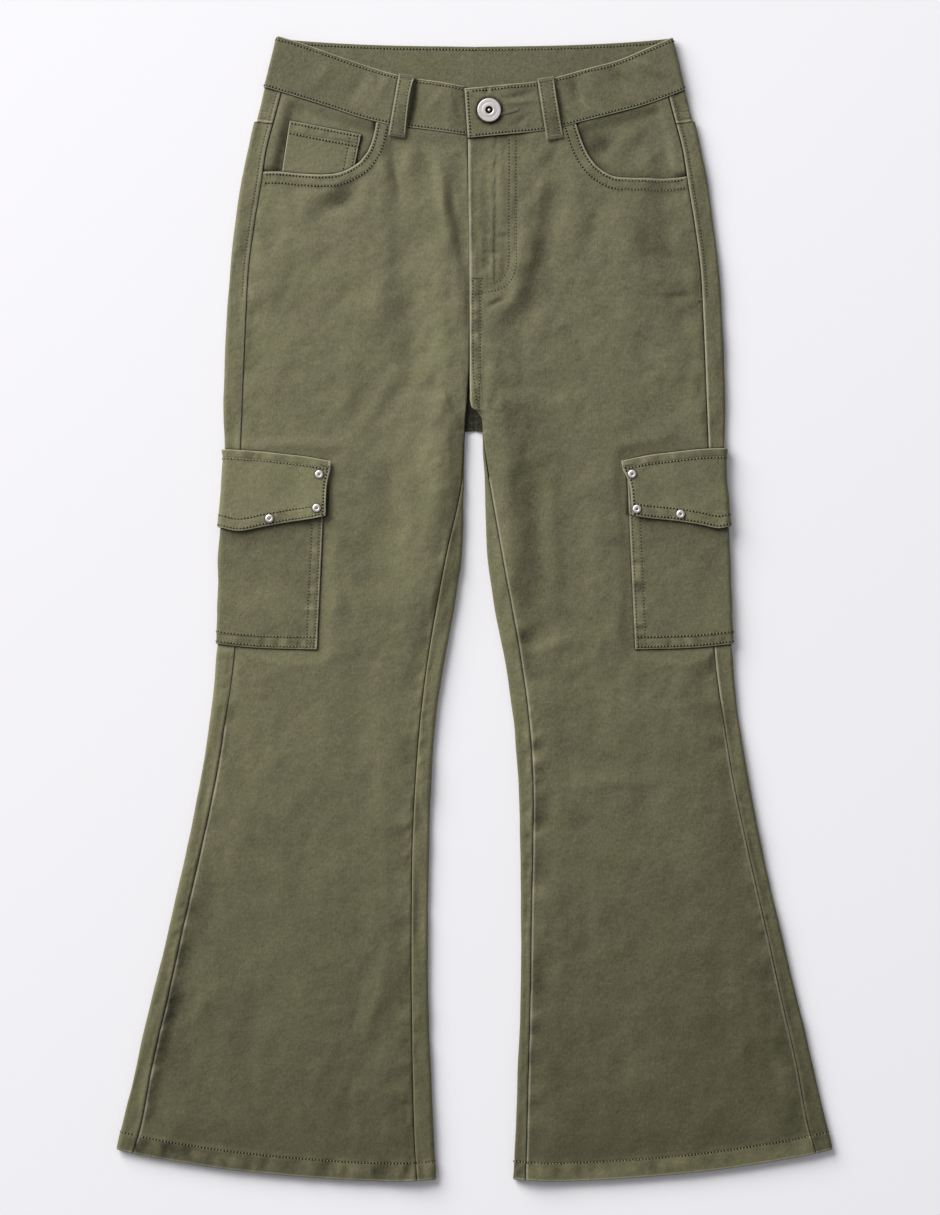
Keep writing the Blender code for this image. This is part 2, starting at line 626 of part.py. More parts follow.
def make_panels(cloth):
    for side in SIDES:
        flip = side.sign > 0.0
        grid = front_grid(side)
        wall("front_panel_" + side.name, grid, cloth, not flip, inner_extra=hem_thickening(len(grid)))
        grid = back_grid(side)
        wall("back_panel_" + side.name, grid, cloth, flip, inner_extra=hem_thickening(len(grid)))
        wall("back_yoke_" + side.name, yoke_grid(side), cloth, flip)


# --- waistband and loops --------------------------------------------------------------------------

def band_front_mid(side, x):
    """Middle of the front waistband: the right end rides over the left one."""
    if side.sign < 0.0:
        return mix(BAND_UNDER_MID, BAND_FRONT_MID, ease((x - 5.0) / (OVERLAP_CLEAR - 5.0)))
    return mix(BAND_OVER_MID, BAND_FRONT_MID, ease((x - OVERLAP_END) / (OVERLAP_CLEAR - OVERLAP_END)))


def band_grid(side):
    """Rows across the waistband's height; columns from the centre front round to the centre back."""
    rows = []
    for share in (1.0, 0.5, 0.0):
        line = []
        fold = mix(BAND_FOLD[0], BAND_FOLD[1], share)
        radius = (BAND_FRONT_MID - BAND_BACK_MID) / 2
        end = (mix(BAND_END[0], BAND_END[1], share),) if side is RIGHT else UNDERLAP_X
        for x in end + BAND_X + (fold - radius,):
            line.append((x, side.band_y(x, share, 0.0), band_front_mid(side, x)))
        for step in range(1, ARC_STEPS + 1):
            angle = math.pi * step / ARC_STEPS
            x = fold - radius + radius * math.sin(angle)
            z = (BAND_FRONT_MID + BAND_BACK_MID) / 2 + radius * math.cos(angle)
            line.append((x, side.band_y(x, share, step / ARC_STEPS), z))
        for k in range(1, 9):
            x = mix(fold - radius, SEAM_GAP / 2, k / 8)
            line.append((x, side.band_y(x, share, 1.0), BAND_BACK_MID))
        rows.append(line)
    return [[side.place(*point) for point in line] for line in rows]


def make_front_loop(name, top_x, top_y, bottom_x, bottom_y, material):
    """A loop lying on the front waistband: its ends sit on the band, its middle stands off it."""
    band = BAND_FRONT_MID + BAND_CLOTH / 2 + SEAM_GAP + CLOTH / 2
    rows = []
    steps = 8
    for k in range(steps + 1):
        share = k / steps
        z = band + LOOP_ARCH * math.sin(math.pi * share) ** 2
        line = []
        for across in (-0.5, 0.0, 0.5):
            x = mix(top_x, bottom_x, share) + across * LOOP_WIDTH
            tilt = (bottom_x - top_x) / (top_y - bottom_y) * across * LOOP_WIDTH
            line.append(RIGHT.place(x, mix(top_y, bottom_y, share) + tilt, z))
        rows.append(line)
    return wall(name, rows, material, True)


def make_back_loop(name, x, material):
    """A plain loop on the outer face of the back waistband, flat on the floor."""
    rows = []
    for share in (0.0, 0.5, 1.0):
        y = mix(RIGHT.back_band_top(abs(x)) - 1.0, RIGHT.back_band_bottom(abs(x)) - BACK_LOOP_DROP, share)
        rows.append([RIGHT.place(x + across * LOOP_WIDTH, y, FLOOR_MID) for across in (-0.5, 0.0, 0.5)])
    return wall(name, rows, material, True)


def make_waist(cloth):
    for side in SIDES:
        wall("waistband_" + side.name, band_grid(side), cloth, side.sign > 0.0, cloth=BAND_CLOTH)
    for name, top_x, top_y, bottom_x, bottom_y in FRONT_LOOPS:
        make_front_loop(name, top_x, top_y, bottom_x, bottom_y, cloth)
    for name, x in BACK_LOOPS:
        make_back_loop(name, x, cloth)


# --- hip pockets ----------------------------------------------------------------------------------

def facing_mid(side, x, y):
    """Middle of the hip pocket's facing: level inside, climbing to the outseam and the waistband."""
    rise = ease(1.0 - (side.outseam(y) - x) / FACING_RAMP)
    low = mix(FACING_MID, side.top(x, y), rise)
    near = ease(1.0 - (side.band_bottom(x) - y) / FACING_RAMP)
    near *= ease((x - FACING_CLIMB_X) / FACING_RAMP)
    return mix(low, BAND_FRONT_MID, near)


def facing_grid(side):
    bottom = spline(FACING_BOTTOM)
    rows = []
    for level in (0.0, 0.12, 0.24, 0.4, 0.6, 0.8, 1.0):
        line = []
        for share in FACING_SHARES:
            x = mix(side.outseam(365.0), FACING_INNER_X, share)
            for _ in range(3):
                y = mix(side.band_bottom(x) - SEAM_GAP, bottom(share), level)
                x = mix(side.outseam(y) - FACING_EDGE_GAP, FACING_INNER_X, share)
            line.append((x, y, facing_mid(side, x, y)))
        rows.append(line)
    return [[side.place(*point) for point in line] for line in rows]


def coin_grid(side):
    """The coin pocket's patch, from the facing's own surface."""
    (x0, y0), (x1, y1), (x2, y2), (x3, y3) = COIN_CORNERS
    rows = []
    for i in range(5):
        line = []
        for j in range(7):
            down = i / 4
            across = j / 6
            x = mix(mix(x0, x1, across), mix(x2, x3, across), down)
            y = mix(mix(y0, y1, across), mix(y2, y3, across), down)
            line.append(side.place(-x, y, facing_mid(side, -x, y)))
        rows.append(line)
    return rows


def make_hip_pockets(cloth):
    for side in SIDES:
        wall("pocket_facing_" + side.name, facing_grid(side), cloth, side.sign < 0.0)
    wall("coin_pocket", coin_grid(LEFT), cloth, True, outward=LAYER)


# --- cargo pockets and flaps ----------------------------------------------------------------------

def wrapped_line(side, y, inner_x, y_at):
    """A section that lies over the leg: top from inner_x, round the outer fold, then underneath."""
    fold_x, _ = side.outer_arc(y, 0, ARC_STEPS)
    line = []
    for k in range(6):
        x = mix(inner_x, fold_x, k / 6)
        line.append((x, y_at(x), side.top(x, y_at(x))))
    for step in range(ARC_STEPS + 1):
        x, z = side.outer_arc(y, step, ARC_STEPS)
        line.append((x, y_at(x), z))
    for k in range(1, 4):
        x = mix(fold_x, UNDER_INNER, k / 3)
        line.append((x, y_at(x), side.floor(x, y_at(x))))
    return line


def pocket_grid(side):
    rows = []
    for level in (POCKET_TOP_Y, 96.0, 72.0, 56.0, 46.0, 20.0, -6.0, None):
        def y_at(x, level=level):
            return side.pocket_bottom(x) if level is None else level
        y = y_at(side.outer(-25.0))
        down = (POCKET_TOP_Y - y) / (POCKET_TOP_Y - side.pocket_bottom(120.0))
        inner = side.pocket_inner + POCKET_SPREAD * down
        rows.append(wrapped_line(side, y, inner, y_at))
    return [[side.place(*point) for point in line] for line in rows]


def flap_grid(side):
    rows = []
    for level in (0.0, 0.33, 0.67, 1.0):
        def y_at(x, level=level):
            return mix(side.flap_top(x), side.flap_bottom(x), level)
        rows.append(wrapped_line(side, y_at(side.outer(90.0)), side.flap_inner + 1.5 * level, y_at))
    return [[side.place(*point) for point in line] for line in rows]


def make_cargo(cloth):
    for side in SIDES:
        flip = side.sign > 0.0
        wall("cargo_pocket_" + side.name, pocket_grid(side), cloth, flip, outward=LAYER)
        wall("cargo_flap_" + side.name, flap_grid(side), cloth, flip, outward=2 * LAYER)


# --- metal and zip --------------------------------------------------------------------------------

def make_hardware(metal, tape):
    for name, x, y in STUDS:
        side = LEFT if x < 0.0 else RIGHT
        base = side.top(abs(x), y) + 2 * LAYER + CLOTH / 2 + SEAM_GAP
        turned(name, STUD_PROFILE, STUD_SIDES, side.place(abs(x), y, base), metal)
    base = BAND_OVER_MID + BAND_CLOTH / 2 + SEAM_GAP
    turned("waist_button", BUTTON_PROFILE, BUTTON_SIDES, RIGHT.place(*BUTTON_AT, base), metal)
    rows = []
    for k in range(6):
        y = mix(ZIP["y1"], ZIP["y0"], k / 5)
        line = []
        for j in range(4):
            x = mix(ZIP["x0"], ZIP["x1"], j / 3)
            line.append(RIGHT.place(x, y, RIGHT.top(x, y) - CLOTH - 2 * SEAM_GAP))
        rows.append(line)
    wall("fly_zip", rows, tape, False)


def main():
    for item in list(bpy.data.objects):
        bpy.data.objects.remove(item, do_unlink=True)
    cloth = make_material("olive_twill", OLIVE, 0.0, 0.9)
    metal = make_material("silver_metal", SILVER, 1.0, 0.3)
    tape = make_material("zip_tape", TAPE, 0.0, 0.8)
    make_panels(cloth)
    make_waist(cloth)
    make_hip_pockets(cloth)
    make_cargo(cloth)
    make_hardware(metal, tape)


main()
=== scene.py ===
"""The finished look of a pair of flared cargo pants that lies flat on its back.

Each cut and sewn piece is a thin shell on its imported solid's form, with creases, puckers along the
seams, rows of sewing and metal trims. The tables hold millimetres, with the waist at +Y, and their
y is CENTRE_Y more than the frame's. The shells keep one scheme of sections: from the outseam on top,
round the outer fold, along the floor, and up round the inner fold to the inseam.
"""

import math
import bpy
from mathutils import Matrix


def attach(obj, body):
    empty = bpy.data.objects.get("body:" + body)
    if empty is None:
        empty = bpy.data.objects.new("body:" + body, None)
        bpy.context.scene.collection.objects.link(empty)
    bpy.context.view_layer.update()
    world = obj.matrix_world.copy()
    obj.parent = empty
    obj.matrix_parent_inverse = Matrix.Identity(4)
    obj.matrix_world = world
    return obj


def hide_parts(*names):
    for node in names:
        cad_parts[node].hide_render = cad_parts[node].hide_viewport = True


bl_info = {
    "name": "Flared cargo pants",
    "version": (1, 0, 0),
    "blender": (4, 5, 0),
    "location": "View3D > Sidebar > Cargo pants",
    "description": "Builds the cloth, sewing and metal of a pair of cargo pants round its packed solids",
    "category": "Object",
}

import bpy
import numpy as np
from bpy.props import FloatProperty, FloatVectorProperty, IntProperty, PointerProperty
from mathutils import Vector

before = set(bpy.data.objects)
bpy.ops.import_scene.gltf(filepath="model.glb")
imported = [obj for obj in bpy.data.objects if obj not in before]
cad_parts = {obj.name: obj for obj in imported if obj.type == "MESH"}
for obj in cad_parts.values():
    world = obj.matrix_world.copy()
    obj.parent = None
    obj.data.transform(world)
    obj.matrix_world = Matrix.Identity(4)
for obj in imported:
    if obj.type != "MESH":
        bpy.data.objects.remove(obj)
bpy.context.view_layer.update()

MM = 0.001
CENTRE_Y = 0.74

# --- cloth ---
CLOTH = 1
BAND_CLOTH = 2
SEAM_GAP = 0.3
LAYER = CLOTH + SEAM_GAP
HEM_DEPTH = 14
HEM_EXTRA = 1
COARSE = 4  # the hidden face of a shell keeps one point in this many
RIM = 0.4  # width of a shell's rounded rim
RIM_DROP = 0.3  # how far the rim's last points sink
LEAST_CLOTH = 0.6  # a trough deeper than this takes the hidden face down with it

# --- heights of the cloth's middle above the floor ---
FLOOR_MID = CLOTH / 2
TOP_MID = 4.3
HIP_RISE = 0.4
HIP_RISE_Y = (220, 300)
BAND_BACK_MID = 2.3
BAND_FRONT_MID = 5.2
BAND_UNDER_MID = 4.7
BAND_OVER_MID = 7
OVERLAP_END = 22
OVERLAP_CLEAR = 45
UNDERLAP_BLEND = 8
BAND_RAMP = 14
FACING_MID = 2.5
FACING_RAMP = 10
POCKET_RISE = 0.8
POCKET_RISE_REACH = 26
LAYERS_TOP_SHARE = 0.4

# --- outlines, left and right of the middle ---
# y, |x| of the outer fold
OUTER_FOLD = (
    (420, 144.2), (383, 153.2), (350, 161.8), (315, 169.9), (280, 175), (245, 178.9),
    (210, 181.2), (174, 182.6), (139, 183.2), (108, 181.9), (90, 182.8), (70, 184.4),
    (34, 186), (0, 187), (-28, 188), (-40, 189), (-54, 190), (-89, 194.4),
    (-125, 200.4), (-160, 207), (-195, 214.5), (-230, 222.6), (-265, 230.9), (-300, 239.6),
    (-336, 247.8), (-371, 256.1), (-395, 261.5),
)
# y, |x| of the outseam on top
OUTSEAM = (
    (390, 138.5), (362, 146), (337, 152.5), (311, 156.5), (284, 161), (250, 165.5),
    (214, 167.5), (139, 170.6), (118, 171.4), (40, 173.5), (-28, 175.6), (-56, 178.6),
    (-79, 182.2), (-123, 189.3), (-162, 197.4), (-200, 205.9), (-239, 214.9), (-285, 225),
    (-333, 236), (-378, 244.5), (-397, 250),
)
# y, left |x|, right |x| of the inner fold, from the crotch down
INNER_FOLD = (
    (145, 6.9, 5.2), (131, 7.4, 6.2), (118, 8, 6.8), (96, 8.5, 8.1), (69, 8.7, 8.7),
    (51, 9.1, 9.1), (34, 10.4, 10.4), (16, 13, 13), (-1, 15.5, 15.5), (-19, 19, 19),
    (-37, 22.5, 22.5), (-54, 25.2, 25.2), (-72, 28, 28), (-107, 31.2, 31.2),
    (-142, 32.9, 33.2), (-177, 33.6, 34), (-230, 34.5, 34.5), (-301, 33.9, 33.9),
    (-336, 32.3, 32.3), (-371, 31, 31), (-412, 29, 29),
)
# y, left |x|, right |x| of the front panel's inner edge: centre seam, crotch curve, inseam
INNER_SEAM = (
    (385, 5, -5), (345, 5, -5), (272, 3, -4.2), (204, 3.4, -3.6), (174, 4.3, -3.6),
    (160, 5.2, -3.5), (151, 5.7, -3), (147.4, 5.9, -1.2), (145.6, 6.1, 3), (142, 6.5, 4.8),
    (130, 7.2, 5.9), (118, 8.1, 6.6), (96, 8.9, 10.4),
    (37, 21.2, 20.7), (-27, 32.7, 32.5), (-75, 39.1, 39.4), (-122, 43, 42.8),
    (-170, 45.4, 42.8), (-213, 46, 42), (-264, 46.2, 41.2), (-301, 45.8, 40.5),
    (-334, 45.4, 39.6), (-372, 44.5, 38.7), (-394, 43.6, 38.1), (-417, 41.9, 37.5),
)
# |x|, y of the hem's edge
HEM_EDGE = (
    (28, -417), (58, -418.4), (82, -417.8), (133, -414.5), (185, -409), (217, -404),
    (240, -400), (262, -395),
)
# |x|, left y, right y of the front waistband's lower edge
BAND_BOTTOM = (
    (-8, 346.2, 345), (0, 347, 345.8), (26, 350.5, 348.3), (50, 353.6, 350.8),
    (64, 355.7, 353.6), (82, 360, 358.3), (104, 367.3, 363.9), (127, 374.6, 370.3), (153.5, 382.7, 380.4),
)
# |x|, left y, right y of the front waistband's upper edge
BAND_TOP = (
    (-8, 381.6, 381.6), (0, 382.2, 382.2), (26, 386.8, 384.8), (45, 389.4, 386.8),
    (60, 392.6, 390), (82, 399.4, 396.2), (105, 407.3, 402.4), (127, 415, 411.5), (144.7, 420.3, 419.1),
)
# |x|, upper y, lower y of the back waistband
BACK_BAND = (
    (0, 412.5, 374.5), (60, 413.4, 375.4), (100, 415, 377), (135, 417.6, 379.5), (153.5, 420, 381.5),
)
BAND_FOLD = (153.2, 144.2)
BAND_END = (-5, -7.4)
UNDERLAP_X = -20
# |x|, y of the back yoke's lower seam
YOKE_SEAM = ((0, 330), (50, 335), (100, 345), (140, 354.5), (163, 358))
# left |x|, left y, right |x|, right y of the hip pocket's mouth, from the outseam to the band
POCKET_MOUTH = (
    (155.5, 320.8, 154.6, 317.4), (148, 321, 147, 316.2), (141.3, 320.8, 136.3, 315.6),
    (125.9, 319.4, 125.7, 316.3), (111.8, 318.7, 115.2, 316.3), (99.9, 319.7, 103.4, 317),
    (90.7, 323.6, 95.7, 320.2), (83.8, 328.2, 88.6, 325.7), (77.5, 336.6, 83, 333.5),
    (74, 346.4, 78.8, 342.6), (71.8, 357, 74.3, 355.8),
)
MOUTH_SHARES = (0, 0.075, 0.15, 0.225, 0.3, 0.375, 0.45, 0.52, 0.59, 0.66, 0.73)
FRONT_TOP_SHARES = (0.8, 0.87, 0.93, 0.97)
FRONT_TOP_X = (58, 42, 26, 10)

# --- the crotch ---
CROTCH_Y = 131
CROTCH_LOW_Y = 130.5  # here the back's inner strip has turned up into the curl
INSEAM_TOP_Y = 96
CROTCH_TURN = 95
BACK_MEETING = 0.03  # the halves meet at the centre back
CROTCH_GAP = 0.8
DROOP = 1.2
DROOP_FROM_Y = 165
CURL_FLAT = 8
CURL_BLEND = 9
END_PULL = 0.6

# --- cargo pockets and flaps ---
# left |x|, left y, right |x|, right y
FLAP_TOP = ((106.6, 109.2, 107.5, 109.2), (122.3, 112.1, 126.8, 113.2), (136.7, 113.8, 145.1, 115.5),
            (155, 115.8, 164.8, 117.7), (188, 118, 188, 118.7))
FLAP_BOTTOM = ((108.6, 69, 113.4, 69.6), (117.7, 67, 125.5, 67.4), (138.6, 63.8, 145.1, 65.4),
               (155, 60.8, 164.8, 62.5), (173.4, 57.8, 180.5, 59.8), (191, 62, 191.6, 63.8))
FLAP_INNER = (107.2, 111.8)
# how far the flap's inner edge swings in, by share of its height
FLAP_SWING = ((0, -2.3), (0.18, -1.7), (0.33, -0.2), (0.49, 0.8), (0.8, 1.4), (1, 1.6))
POCKET_INNER = (109, 111.4)
POCKET_SPREAD = 6.2
POCKET_TOP_Y = 106
POCKET_DEPTH = 135
POCKET_BOTTOM = ((-115, -29.4), (115, -28.9), (165, -27.3), (190, -24.6))
UNDER_INNER = 148
FLAP_ZONE = (56, 119)
POCKET_ZONE = (-31, 119)
ZONE_RAMP = 10
LAYER_UNDER_X = (124, 142)
LAYER_TOP_X = (80, 100)

# --- hip pockets ---
FACING_BOTTOM = ((0, 316), (0.1, 314), (0.17, 302), (0.4, 296), (0.7, 302),
                 (0.9, 320), (1, 335))
FACING_INNER_X = 62
FACING_EDGE_GAP = 0.6
COIN_SIZE = (52, 50)
COIN_CORNERS = ((-135.3, 358.4), (-83, 348.2), (-143, 307), (-91, 309))

# soft folds: x0, y0, x1, y1, half width, the solids' own height, what the finish adds; minus sinks
FOLDS = (
    (-58, 334, -54, 292, 7, -0.7, -0.5), (-50, 268, -47, 186, 9, -0.6, -0.6),
    (-20, 306, -8, 258, 7, -0.7, 0.7), (60, 326, 48, 262, 8, -0.9, -0.9), (48, 262, 44, 228, 9, -0.9, -0.8),
    (44, 228, 24, 200, 9, -0.8, -0.7), (41, 290, 33, 240, 7, 0.6, 1), (138, 306, 138, 262, 8, -0.5, -0.7),
    (40, 96, 45, -20, 9, -0.7, -1.5), (-20, 76, -27, 40, 7, -0.5, -0.3),
    (-214, -255, -238, -372, 10, -0.6, -0.9), (-64, -300, -82, -335, 9, -0.5, -0.6),
)
# finer creases on the front panels: x0, y0, x1, y1, half width, height
CREASES = (
    (-71, 346, -66, 292, 5, 0.4), (-62.5, 350, -55, 292, 3.6, -0.4), (-50, 344, -46, 300, 5, 0.3),
    (-80, 313, -122, 286, 7, -1.2), (-84, 322, -118, 300, 5, 0.3), (-86, 305, -104, 292, 5, -0.5),
    (-122, 312, -142, 300, 5, -0.25), (-36, 338, -24, 306, 5, -0.35), (-31, 336, -16, 262, 6, 0.75),
    (-12, 266, -14, 206, 6, 0.35), (-21, 313, -7.5, 274, 3.6, -0.6), (-12, 290, -2.5, 240, 4.6, -0.9),
    (-24, 290, -20, 170, 11, 0.4), (-56, 286, -50, 182, 10, -0.45), (-72, 262, -70, 196, 7, 0.25),
    (-104, 268, -130, 238, 6, -0.3), (-122, 262, -146, 214, 5, -0.2), (-88, 236, -122, 196, 5, -0.22),
    (-40, 176, -76, 128, 6, -0.2), (-52, 182, -84, 142, 5, 0.16), (-66, 172, -98, 122, 6, -0.18),
    (-84, 174, -104, 140, 5, 0.12), (-24, 186, -30, 150, 5, -0.16), (-20, 132, -17, 84, 5, 0.3),
    (-62, 120, -66, 56, 7, -0.3), (-46, 104, -52, 30, 6, 0.3), (-80, 70, -72, 4, 7, -0.25),
    (-92, 44, -84, -30, 6, 0.2), (61, 338, 43, 303, 5, -0.4), (43, 303, 40, 276, 5, -0.3),
    (46, 268, 38, 226, 12, -0.22), (44, 258, 42, 236, 6, -0.35), (40, 232, 14, 204, 11, -0.2),
    (32, 224, 22, 212, 6, -0.25), (54, 344, 43, 276, 6.5, 0.4), (43, 276, 38, 238, 6, 0.5),
    (38, 240, 18, 214, 6, 0.4), (92, 302, 84, 262, 6, -0.3), (74, 316, 70, 262, 8, 0.3),
    (7, 224, 23, 228.5, 2, -0.35), (14, 204, 24, 172, 5, -0.3), (21, 172, 32, 122, 6, -0.45),
    (6.5, 172, 9.5, 132, 3.5, 0.35), (13, 262, 8, 246, 2.4, -0.3), (3, 263, 20, 262, 2.4, -0.22),
    (14, 272, 28, 272.5, 2.2, -0.25), (122, 229, 168, 230, 3.2, -0.32), (124, 240, 160, 244, 5, 0.25),
    (128, 266, 160, 254, 4, -0.28), (104, 302, 110, 240, 9, 0.25), (120, 296, 128, 244, 7, -0.35),
    (84, 236, 112, 200, 6, -0.25), (98, 232, 122, 196, 5, 0.22), (66, 208, 92, 160, 6, -0.22),
    (62, 168, 80, 120, 7, 0.22), (24, 122, 34, 56, 6, -0.35), (36, 120, 44, 20, 11, -0.25),
    (52, 100, 58, 8, 8, 0.35), (74, 90, 80, 10, 8, -0.25), (40, -30, 78, -22, 7, 0.3),
    (36, -48, 62, -52, 7, -0.3), (62, -64, 66, -116, 8, -0.25), (54, -129, 146, -121, 7, 0.35),
    (66, -151, 92, -160, 8, -0.35), (96, -40, 104, -100, 8, 0.22), (-92, -50, -84, -128, 9, -0.25),
    (-70, -70, -66, -150, 7, 0.25), (-118, -130, -132, -220, 10, -0.3), (-150, -84, -158, -150, 9, 0.25),
    (120, -96, 130, -182, 10, -0.3), (88, -190, 94, -280, 9, 0.28), (154, -150, 164, -226, 9, 0.25),
    (176, -250, 190, -330, 10, -0.35), (202, -318, 222, -352, 9, -0.4), (226, -322, 231, -374, 7, 0.35),
    (-212, -262, -228, -340, 5, -0.45), (-226, -300, -240, -372, 4, 0.3), (-192, -240, -206, -330, 8, 0.3),
    (-66, -262, -84, -330, 5, 0.35), (-74, -252, -96, -330, 6, -0.35), (-160, -262, -168, -350, 9, -0.28),
    (60, -306, 66, -372, 8, -0.3), (112, -290, 120, -366, 9, 0.25),
)
CREASE_WANDER = 2.5  # how far a crease strays from its straight line
CREASE_GAIN = 4.2
FULLNESS = 1.7  # the panels swell between their seams by this much
LOWEST = (-2.3, -0.9)  # no trough goes deeper, so that the panels stay apart; over the zip less
ZIP_ZONE = (-16, 12)
CENTRE_SEAM = (150, 400, 12)  # from y to y, and its ramp

# --- belt loops, hardware ---
LOOP_WIDTH = 12.5
LOOP_LENGTH = 46
LOOP_ARCH = 1.6
LOOP_TILTS = (2.4, 0.7)  # how far each front loop's right edge stands off the band
LOOP_BOW = 1.6
# name, top x, top y, bottom x, bottom y
FRONT_LOOPS = (("belt_loop_front_left", -49.1, 391.5, -57, 346),
               ("belt_loop_front_right", 52, 389.5, 58.9, 344.4))
BACK_LOOPS = (("belt_loop_back_left", -92), ("belt_loop_back_centre", 0),
              ("belt_loop_back_right", 92))
BACK_LOOP_DROP = 5
STUDS = (("stud_left_top", -113.5, 99.2), ("stud_left_corner", -115.4, 74.5),
         ("stud_left_middle", -149.9, 66.9), ("stud_right_top", 115.2, 99.4),
         ("stud_right_corner", 118.6, 73.8), ("stud_right_middle", 150.6, 70.1))
BUTTON_AT = (10.7, 365.5)

# --- sewing: rows in |x| or x and y ---
# outer and inner row of the fly's curved stitching, on the right panel
FLY_OUTER = ((30.4, 345.5), (30.4, 320), (30.4, 290), (30.4, 265), (30.2, 252), (27.5, 242.9),
             (22.4, 237), (17.2, 234.6), (9.9, 232.8), (-1.4, 231.4))
FLY_INNER = ((25.3, 346), (25.2, 310), (25, 280), (25, 258), (23.8, 249.2), (19.4, 241.9),
             (12.1, 239))
# the pressed ridge, with a painted shadow line on its right and low down on its left as well
FLY_RIDGE = ((12.4, 344), (12.3, 300), (12.1, 262), (12, 236))
CROTCH_ROWS_OUT = ((4.4, 243), (4.2, 210), (4, 176), (3.2, 160), (3, 146))
CROTCH_ROWS_IN = ((-1.3, 243), (-1.2, 204), (-0.9, 176), (0.6, 162), (2.2, 147))
FLY_TACK = ((-1.6, 243.5), (5.4, 243.2))
HIP_TACK_Y = 227
# how far rows of sewing lie from the edge they follow
TWIN_ROWS = (2.2, 8)
HIP_ROW = 3.4
BAND_INNER_ROW = 2.4
POCKET_SIDE_ROWS = (2, 8)
MOUTH_ROWS = (2.2, 8.5)
COIN_ROWS = (2, 9.5)
POCKET_ROWS = (2, 9)
FLAP_TOP_ROW = 7
FLAP_SIDE_ROW = 2.2
HEM_ROW = HEM_DEPTH - 0.5
BAND_LOW_ROW = 1.8
BAND_HIGH_ROW = 2.7
BAND_END_ROW = 2.3
LOOP_ROW = 2.1
BACK_FIRST = 132  # the waistband's first column behind
YOKE_FIRST = 19  # the yoke's first column behind
TWIN_FROM_Y = 150  # the centre back's two rows start above this
BUTTONHOLE = ((19.4, 362.6), (32.2, 366.3))


# --- small helpers ---

def ease(value):
    """0 below 0, 1 above 1, smooth between."""
    value = np.clip(value, 0, 1)
    return value * value * (3 - 2 * value)


def mix(a, b, share):
    return a + (b - a) * share


def joined(*columns):
    """Points from their coordinates."""
    return np.stack(columns, axis=-1)


def spline(rows, column=1):
    """A smooth function through a table's rows, straight past its ends."""
    rows = sorted(rows, key=lambda row: row[0])
    xs = np.array([row[0] for row in rows], float)
    ys = np.array([row[column] for row in rows], float)
    steps = np.diff(ys) / np.diff(xs)
    slopes = np.concatenate([steps[:1], (steps[1:] + steps[:-1]) / 2, steps[-1:]])

    def value(x):
        k = np.clip(np.searchsorted(xs, x) - 1, 0, len(xs) - 2)
        width = xs[k + 1] - xs[k]
        past = (x - xs[k]) / width
        t = np.clip(past, 0, 1)
        a = (2 * t ** 3 - 3 * t ** 2 + 1) * ys[k] + (t ** 3 - 2 * t ** 2 + t) * width * slopes[k]
        b = (3 * t ** 2 - 2 * t ** 3) * ys[k + 1] + (t ** 3 - t ** 2) * width * slopes[k + 1]
        return a + b + (past - t) * width * np.where(past < 0, slopes[k], slopes[k + 1])

    return value


def rising(value, limits):
    """0 before the first limit, 1 after the second, smooth between."""
    return ease((value - limits[0]) / (limits[1] - limits[0]))


def zone(y, low, high, ramp):
    """1 between low and high, easing to 0 within the ramp outside."""
    return ease((y - low + ramp) / ramp) * ease((high + ramp - y) / ramp)


def bump(away, width):
    """A smooth ridge across a line: 1 on it, nearly 0 at twice the width."""
    return np.exp(-(away / width) ** 2)


def noise(x, y, size, seed):
    """Smooth random heights from -1 to 1, with forms of this size."""
    lattice = np.random.default_rng(seed).uniform(-1, 1, (97, 89))
    u = np.asarray(x) / size
    v = np.asarray(y) / size
    i = np.floor(u).astype(int)
    j = np.floor(v).astype(int)
    s = ease(u - i)
    t = ease(v - j)
    low = mix(lattice[i % 97, j % 89], lattice[(i + 1) % 97, j % 89], s)
    high = mix(lattice[i % 97, (j + 1) % 89], lattice[(i + 1) % 97, (j + 1) % 89], s)
    return mix(low, high, t)


def turned_noise(x, y, size, seed):
    """The same with two lattices that lie at an angle, so that no rows show."""
    a = noise(0.82 * x + 0.57 * y + 900, 0.82 * y - 0.57 * x + 900, size, seed)
    b = noise(0.94 * x - 0.34 * y + 700, 0.94 * y + 0.34 * x + 700, size * 0.8, seed + 1)
    return 0.6 * (a + b)


def from_line(x, y, points):
    """Distance of each place to a line of points."""
    best = np.full(np.shape(x), 1e9)
    for (x0, y0), (x1, y1) in zip(points, points[1:]):
        dx = x1 - x0
        dy = y1 - y0
        share = np.clip(((x - x0) * dx + (y - y0) * dy) / (dx * dx + dy * dy), 0, 1)
        best = np.minimum(best, np.hypot(x - x0 - share * dx, y - y0 - share * dy))
    return best


def fold_height(x, y, own=True):
    """How far the soft folds raise the top cloth: the solids' own height, or the finish's share."""
    height = np.zeros(np.shape(x))
    for x0, y0, x1, y1, half_width, packed, added in FOLDS:
        away = from_line(x, y, ((x0, y0), (x1, y1)))
        rise = packed if own else added
        height += rise * np.cos(np.pi * np.clip(away / (4 * half_width), 0, 0.5)) ** 2
    return height


